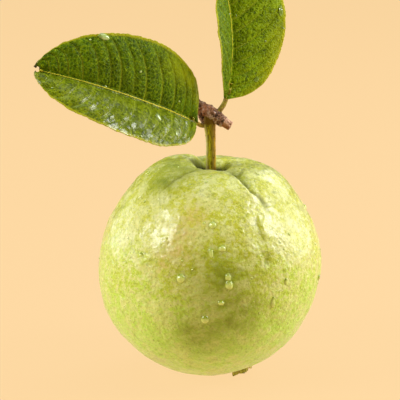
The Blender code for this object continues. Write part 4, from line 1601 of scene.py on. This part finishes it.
def build_panel(name, power, direction, distance, size):
    """A soft rectangular light that looks at the middle of the object."""
    light = bpy.data.lights.new(name, "AREA")
    light.shape = "RECTANGLE"
    light.size, light.size_y = size
    light.energy = power
    panel = bpy.data.objects.new(name, light)
    bpy.context.scene.collection.objects.link(panel)
    way = Vector(direction).normalized()
    panel.location = Vector(LIGHT_AIM) * MM + way * distance
    panel.rotation_euler = way.to_track_quat("Z", "Y").to_euler()
    panel.visible_camera = False


def build_lights(settings):
    for key, direction, distance, size in PANELS:
        build_panel(key.replace("_", " "), getattr(settings, key), direction, distance, size)


def build_world(settings):
    world = bpy.data.worlds.new("studio")
    world.use_nodes = True
    bpy.context.scene.world = world
    background = world.node_tree.nodes["Background"]
    background.inputs["Color"].default_value = (*settings.room_tint[:3], 1.0)
    background.inputs["Strength"].default_value = settings.room_light


def build_camera():
    pitch = math.radians(VIEW_PITCH)
    back = Vector((0.0, -math.cos(pitch), math.sin(pitch)))
    data = bpy.data.cameras.new("camera")
    data.lens = LENS
    data.sensor_width = SENSOR
    data.clip_end = VIEW_END * MM
    camera = bpy.data.objects.new("camera", data)
    bpy.context.scene.collection.objects.link(camera)
    camera.location = (Vector(VIEW_AIM) + back * (VIEW_WIDTH * LENS / SENSOR)) * MM
    camera.rotation_euler = back.to_track_quat("Z", "Y").to_euler()
    bpy.context.scene.camera = camera


# --- settings --------------------------------------------------------------------------------


def length_setting(name, description, default):
    return bpy.props.FloatProperty(name=name, description=description, default=default, min=0.0,
                                   unit="LENGTH", subtype="DISTANCE", precision=5)


def colour_setting(name, description, default):
    return bpy.props.FloatVectorProperty(name=name, description=description, default=default, size=3,
                                         min=0.0, max=1.0, subtype="COLOR")


def amount_setting(name, description, default, high=1.0):
    return bpy.props.FloatProperty(name=name, description=description, default=default, min=0.0, max=high)


class FruitSettings(bpy.types.PropertyGroup):
    """Relief and colours of the fruit's skin."""

    lump_height: length_setting("Lump height", "Height of the centimetre-wide lumps", 0.0005)
    wrinkle_height: length_setting("Wrinkle height", "Depth of the crepe-like wrinkles", 0.0002)
    pebble_height: length_setting("Pebble height", "Height of the finest pebbles on the skin", 0.0001)
    wax: amount_setting("Wax", "How much shine the skin's own wax adds", 1.0)
    ripe: colour_setting("Ripe", "Main yellow-green of the skin", (0.61, 0.63, 0.018))
    green: colour_setting("Green", "Greener areas of the skin", (0.54, 0.77, 0.05))
    # Pale is also the colour of the painted glints and sheen on the upper skin.
    pale: colour_setting("Pale", "Pale patches", (0.78, 0.8, 0.29))
    # Paler green round the bottom, partly painted light from below.
    fresh: colour_setting("Fresh", "Fresh green round the bottom", (0.56, 0.93, 0.14))
    # Deep colours the real darker flecks, and is also the painted shade in the furrows and the shaded areas.
    deep: colour_setting("Deep", "Darker flecks and the furrows", (0.235, 0.29, 0.006))
    # Painted shade at the bottom of the sharp creases.
    crease: colour_setting("Crease", "Bottom of the sharp creases", (0.11, 0.12, 0.004))
    # Painted shade deep in the stem cavity.
    hollow: colour_setting("Hollow", "Inside the stem cavity", (0.02, 0.022, 0.002))
    rubbed: colour_setting("Rubbed", "Faint brown rub mark", (0.66, 0.5, 0.11))
    pore: colour_setting("Pore", "Tiny dark pores", (0.20, 0.21, 0.01))


class StalkSettings(bpy.types.PropertyGroup):
    """Colours of the fruit's stalk."""

    green: colour_setting("Green", "Greener streaks", (0.52, 0.48, 0.008))
    olive: colour_setting("Olive", "Olive streaks", (0.17, 0.14, 0.002))
    pale: colour_setting("Pale", "Corky pale side", (0.6, 0.53, 0.22))
    warm: colour_setting("Warm", "Sunned side", (0.75, 0.42, 0.012))
    brown: colour_setting("Brown", "Brown streaks at the foot", (0.17, 0.09, 0.006))
    speck: colour_setting("Speck", "Dark specks", (0.05, 0.035, 0.005))


class TwigSettings(bpy.types.PropertyGroup):
    """Colours of the bark and the bared wood."""

    bark: colour_setting("Bark", "Brown of the bark", (0.34, 0.165, 0.085))
    bark_dark: colour_setting("Bark dark", "Gaps between the scales", (0.035, 0.015, 0.007))
    bark_grey: colour_setting("Bark grey", "Pinkish grey on raised scales", (0.62, 0.44, 0.35))
    torn: colour_setting("Torn", "Reddish torn bark and wood", (0.38, 0.14, 0.05))
    wood: colour_setting("Wood", "Pink bared wood", (0.78, 0.46, 0.3))


class LeafSettings(bpy.types.PropertyGroup):
    """Relief and colours of the two leaves."""

    thickness: length_setting("Thickness", "Thickness of the blade", 0.0004)
    quilting: length_setting("Quilting", "How far the blade domes between its veins", 0.00055)
    edge_wave: length_setting("Edge wave", "How far the blade's edge waves", 0.0004)
    blade: colour_setting("Blade", "Main green", (0.09, 0.175, 0.001))
    blade_dark: colour_setting("Blade dark", "Darker patches", (0.025, 0.055, 0.001))
    blade_light: colour_setting("Blade light", "Fine light net", (0.27, 0.38, 0.004))
    blade_sunny: colour_setting("Blade sunny", "Green of the upright leaf", (0.23, 0.36, 0.002))
    blade_pale: colour_setting("Blade pale", "Half that is turned to the light", (0.2, 0.25, 0.003))
    blade_yellow: colour_setting("Blade yellow", "Yellow-green stretch of the edge", (0.3, 0.36, 0.003))
    under: colour_setting("Under", "Underside", (0.28, 0.34, 0.09))
    vein: colour_setting("Vein", "Side veins", (0.34, 0.42, 0.02))
    midrib: colour_setting("Midrib", "Midrib", (0.7, 0.62, 0.04))
    edge: colour_setting("Edge", "Thin rim of the blade", (0.52, 0.5, 0.012))
    tip: colour_setting("Tip", "Dried tip", (0.05, 0.025, 0.01))
    petiole_gold: colour_setting("Petiole gold", "Left petiole, light", (0.50, 0.33, 0.04))
    petiole_brown: colour_setting("Petiole brown", "Left petiole, dark", (0.22, 0.15, 0.02))
    petiole_green: colour_setting("Petiole green", "Right petiole, light", (0.42, 0.36, 0.05))
    petiole_purple: colour_setting("Petiole purple", "Right petiole, dark", (0.24, 0.13, 0.06))


class CalyxSettings(bpy.types.PropertyGroup):
    """Size and colours of the dried calyx."""

    stamens: bpy.props.IntProperty(
        name="Stamens", description="Number of dried filaments", default=34, min=3)
    stamen_length: length_setting("Stamen length", "Length of the dried filaments", 0.0012)
    brown: colour_setting("Brown", "Dried brown", (0.5, 0.36, 0.12))
    olive: colour_setting("Olive", "Olive parts still alive", (0.8, 0.74, 0.22))
    grey: colour_setting("Grey", "Grey bloom", (0.7, 0.62, 0.5))
    dark: colour_setting("Dark", "Withered ends", (0.04, 0.02, 0.01))


class DropSettings(bpy.types.PropertyGroup):
    """Shape and number of the water drops."""

    # The water colours are the painted lit side of the drops, the shade colours their painted shaded rim.
    fruit_water: colour_setting("Fruit water", "Tint of the drops on the fruit", (0.85, 0.98, 0.24))
    leaf_water: colour_setting("Leaf water", "Tint of the drops on the leaves", (0.7, 0.92, 0.32))
    fruit_shade: colour_setting("Fruit shade", "Rim of the drops on the fruit", (0.4, 0.5, 0.02))
    leaf_shade: colour_setting("Leaf shade", "Rim of the drops on the leaves", (0.3, 0.42, 0.05))
    drop_height: amount_setting("Drop height", "Height of a drop as a share of its width", 0.42)
    drop_sink: amount_setting("Drop sink", "Share of the height that lies under the skin", 0.35)
    fruit_density: amount_setting("Fruit density", "Small drops on a square metre of skin", 3000.0, 100000.0)
    leaf_density: amount_setting("Leaf density", "Small drops on a square metre of blade", 2500.0, 100000.0)


class StageSettings(bpy.types.PropertyGroup):
    """Floor, lights and the room's own light."""

    floor_radius: length_setting("Floor radius", "Radius of the floor", 4.0)
    paper: colour_setting("Paper", "Colour of the floor", (0.985, 0.685, 0.352))
    paper_share: amount_setting("Paper share", "How much of the room's light the floor returns", 0.03)
    paper_glow: amount_setting("Paper glow", "Even light of the floor itself", 0.952, 5.0)
    room_tint: colour_setting("Room tint", "Colour of the room's light", (0.9, 1.0, 1.0))
    room_light: amount_setting("Room light", "Strength of the room's light", 0.04, 10.0)
    left_box: amount_setting("Left box", "Power of the left softbox in watts", 3.3, 1000.0)
    right_box: amount_setting("Right box", "Power of the right softbox in watts", 3.5, 1000.0)
    left_wall: amount_setting("Left wall", "Power of the low left panel in watts", 3.1, 1000.0)
    right_wall: amount_setting("Right wall", "Power of the low right panel in watts", 3.5, 1000.0)
    top_panel: amount_setting("Top panel", "Power of the panel overhead in watts", 9.0, 1000.0)
    back_panel: amount_setting("Back panel", "Power of the panel behind in watts", 2.2, 1000.0)


SETTINGS = {
    "guava_fruit": FruitSettings,
    "guava_stalk": StalkSettings,
    "guava_twig": TwigSettings,
    "guava_leaf": LeafSettings,
    "guava_calyx": CalyxSettings,
    "guava_drops": DropSettings,
    "guava_stage": StageSettings,
}


# --- operators and panel ---------------------------------------------------------------------


class BuildFruit(bpy.types.Operator):
    """Build the fruit with its lobes, creases and pebbled skin"""

    bl_idname = "guava.build_fruit"
    bl_label = "Fruit"

    def execute(self, context):
        build_fruit(context.scene.guava_fruit)
        return {"FINISHED"}


class BuildStalk(bpy.types.Operator):
    """Build the ridged green stalk"""

    bl_idname = "guava.build_stalk"
    bl_label = "Stalk"

    def execute(self, context):
        build_stalk(context.scene.guava_stalk)
        return {"FINISHED"}


class BuildTwig(bpy.types.Operator):
    """Build the piece of twig with its scaly bark, bared end and side shoot"""

    bl_idname = "guava.build_twig"
    bl_label = "Twig"

    def execute(self, context):
        build_twig(context.scene.guava_twig)
        return {"FINISHED"}


class BuildLeaves(bpy.types.Operator):
    """Build the two veined leaves with their petioles"""

    bl_idname = "guava.build_leaves"
    bl_label = "Leaves"

    def execute(self, context):
        build_leaves(context.scene.guava_leaf)
        return {"FINISHED"}


class BuildCalyx(bpy.types.Operator):
    """Build the dried calyx under the fruit"""

    bl_idname = "guava.build_calyx"
    bl_label = "Calyx"

    def execute(self, context):
        build_calyx(context.scene.guava_calyx)
        return {"FINISHED"}


class BuildDrops(bpy.types.Operator):
    """Set the water drops on the fruit and the leaves"""

    bl_idname = "guava.build_drops"
    bl_label = "Water drops"

    def execute(self, context):
        build_drops(context.scene.guava_drops)
        return {"FINISHED"}


class BuildStage(bpy.types.Operator):
    """Build the floor, the lights and the camera"""

    bl_idname = "guava.build_stage"
    bl_label = "Stage"

    def execute(self, context):
        settings = context.scene.guava_stage
        build_floor(settings)
        build_lights(settings)
        build_world(settings)
        build_camera()
        context.scene.view_settings.view_transform = "Standard"
        return {"FINISHED"}


OPERATORS = [BuildFruit, BuildStalk, BuildTwig, BuildLeaves, BuildCalyx, BuildDrops, BuildStage]


class GuavaPanel(bpy.types.Panel):
    """Lists the build steps and the settings of each"""

    bl_idname = "VIEW3D_PT_guava"
    bl_label = "Guava"
    bl_space_type = "VIEW_3D"
    bl_region_type = "UI"
    bl_category = "Guava"

    def draw(self, context):
        for operator, key in zip(OPERATORS, SETTINGS):
            box = self.layout.box()
            box.operator(operator.bl_idname)
            settings = getattr(context.scene, key)
            for name in type(settings).__annotations__:
                box.prop(settings, name)


def register():
    for settings in SETTINGS.values():
        bpy.utils.register_class(settings)
    for key, settings in SETTINGS.items():
        setattr(bpy.types.Scene, key, bpy.props.PointerProperty(type=settings))
    for operator in OPERATORS:
        bpy.utils.register_class(operator)
    bpy.utils.register_class(GuavaPanel)


def unregister():
    bpy.utils.unregister_class(GuavaPanel)
    for operator in reversed(OPERATORS):
        bpy.utils.unregister_class(operator)
    for key in SETTINGS:
        delattr(bpy.types.Scene, key)
    for settings in reversed(list(SETTINGS.values())):
        bpy.utils.unregister_class(settings)


def main():
    register()
    bpy.ops.guava.build_fruit()
    bpy.ops.guava.build_stalk()
    bpy.ops.guava.build_twig()
    bpy.ops.guava.build_leaves()
    bpy.ops.guava.build_calyx()
    bpy.ops.guava.build_drops()
    bpy.ops.guava.build_stage()


if __name__ == "__main__":
    main()
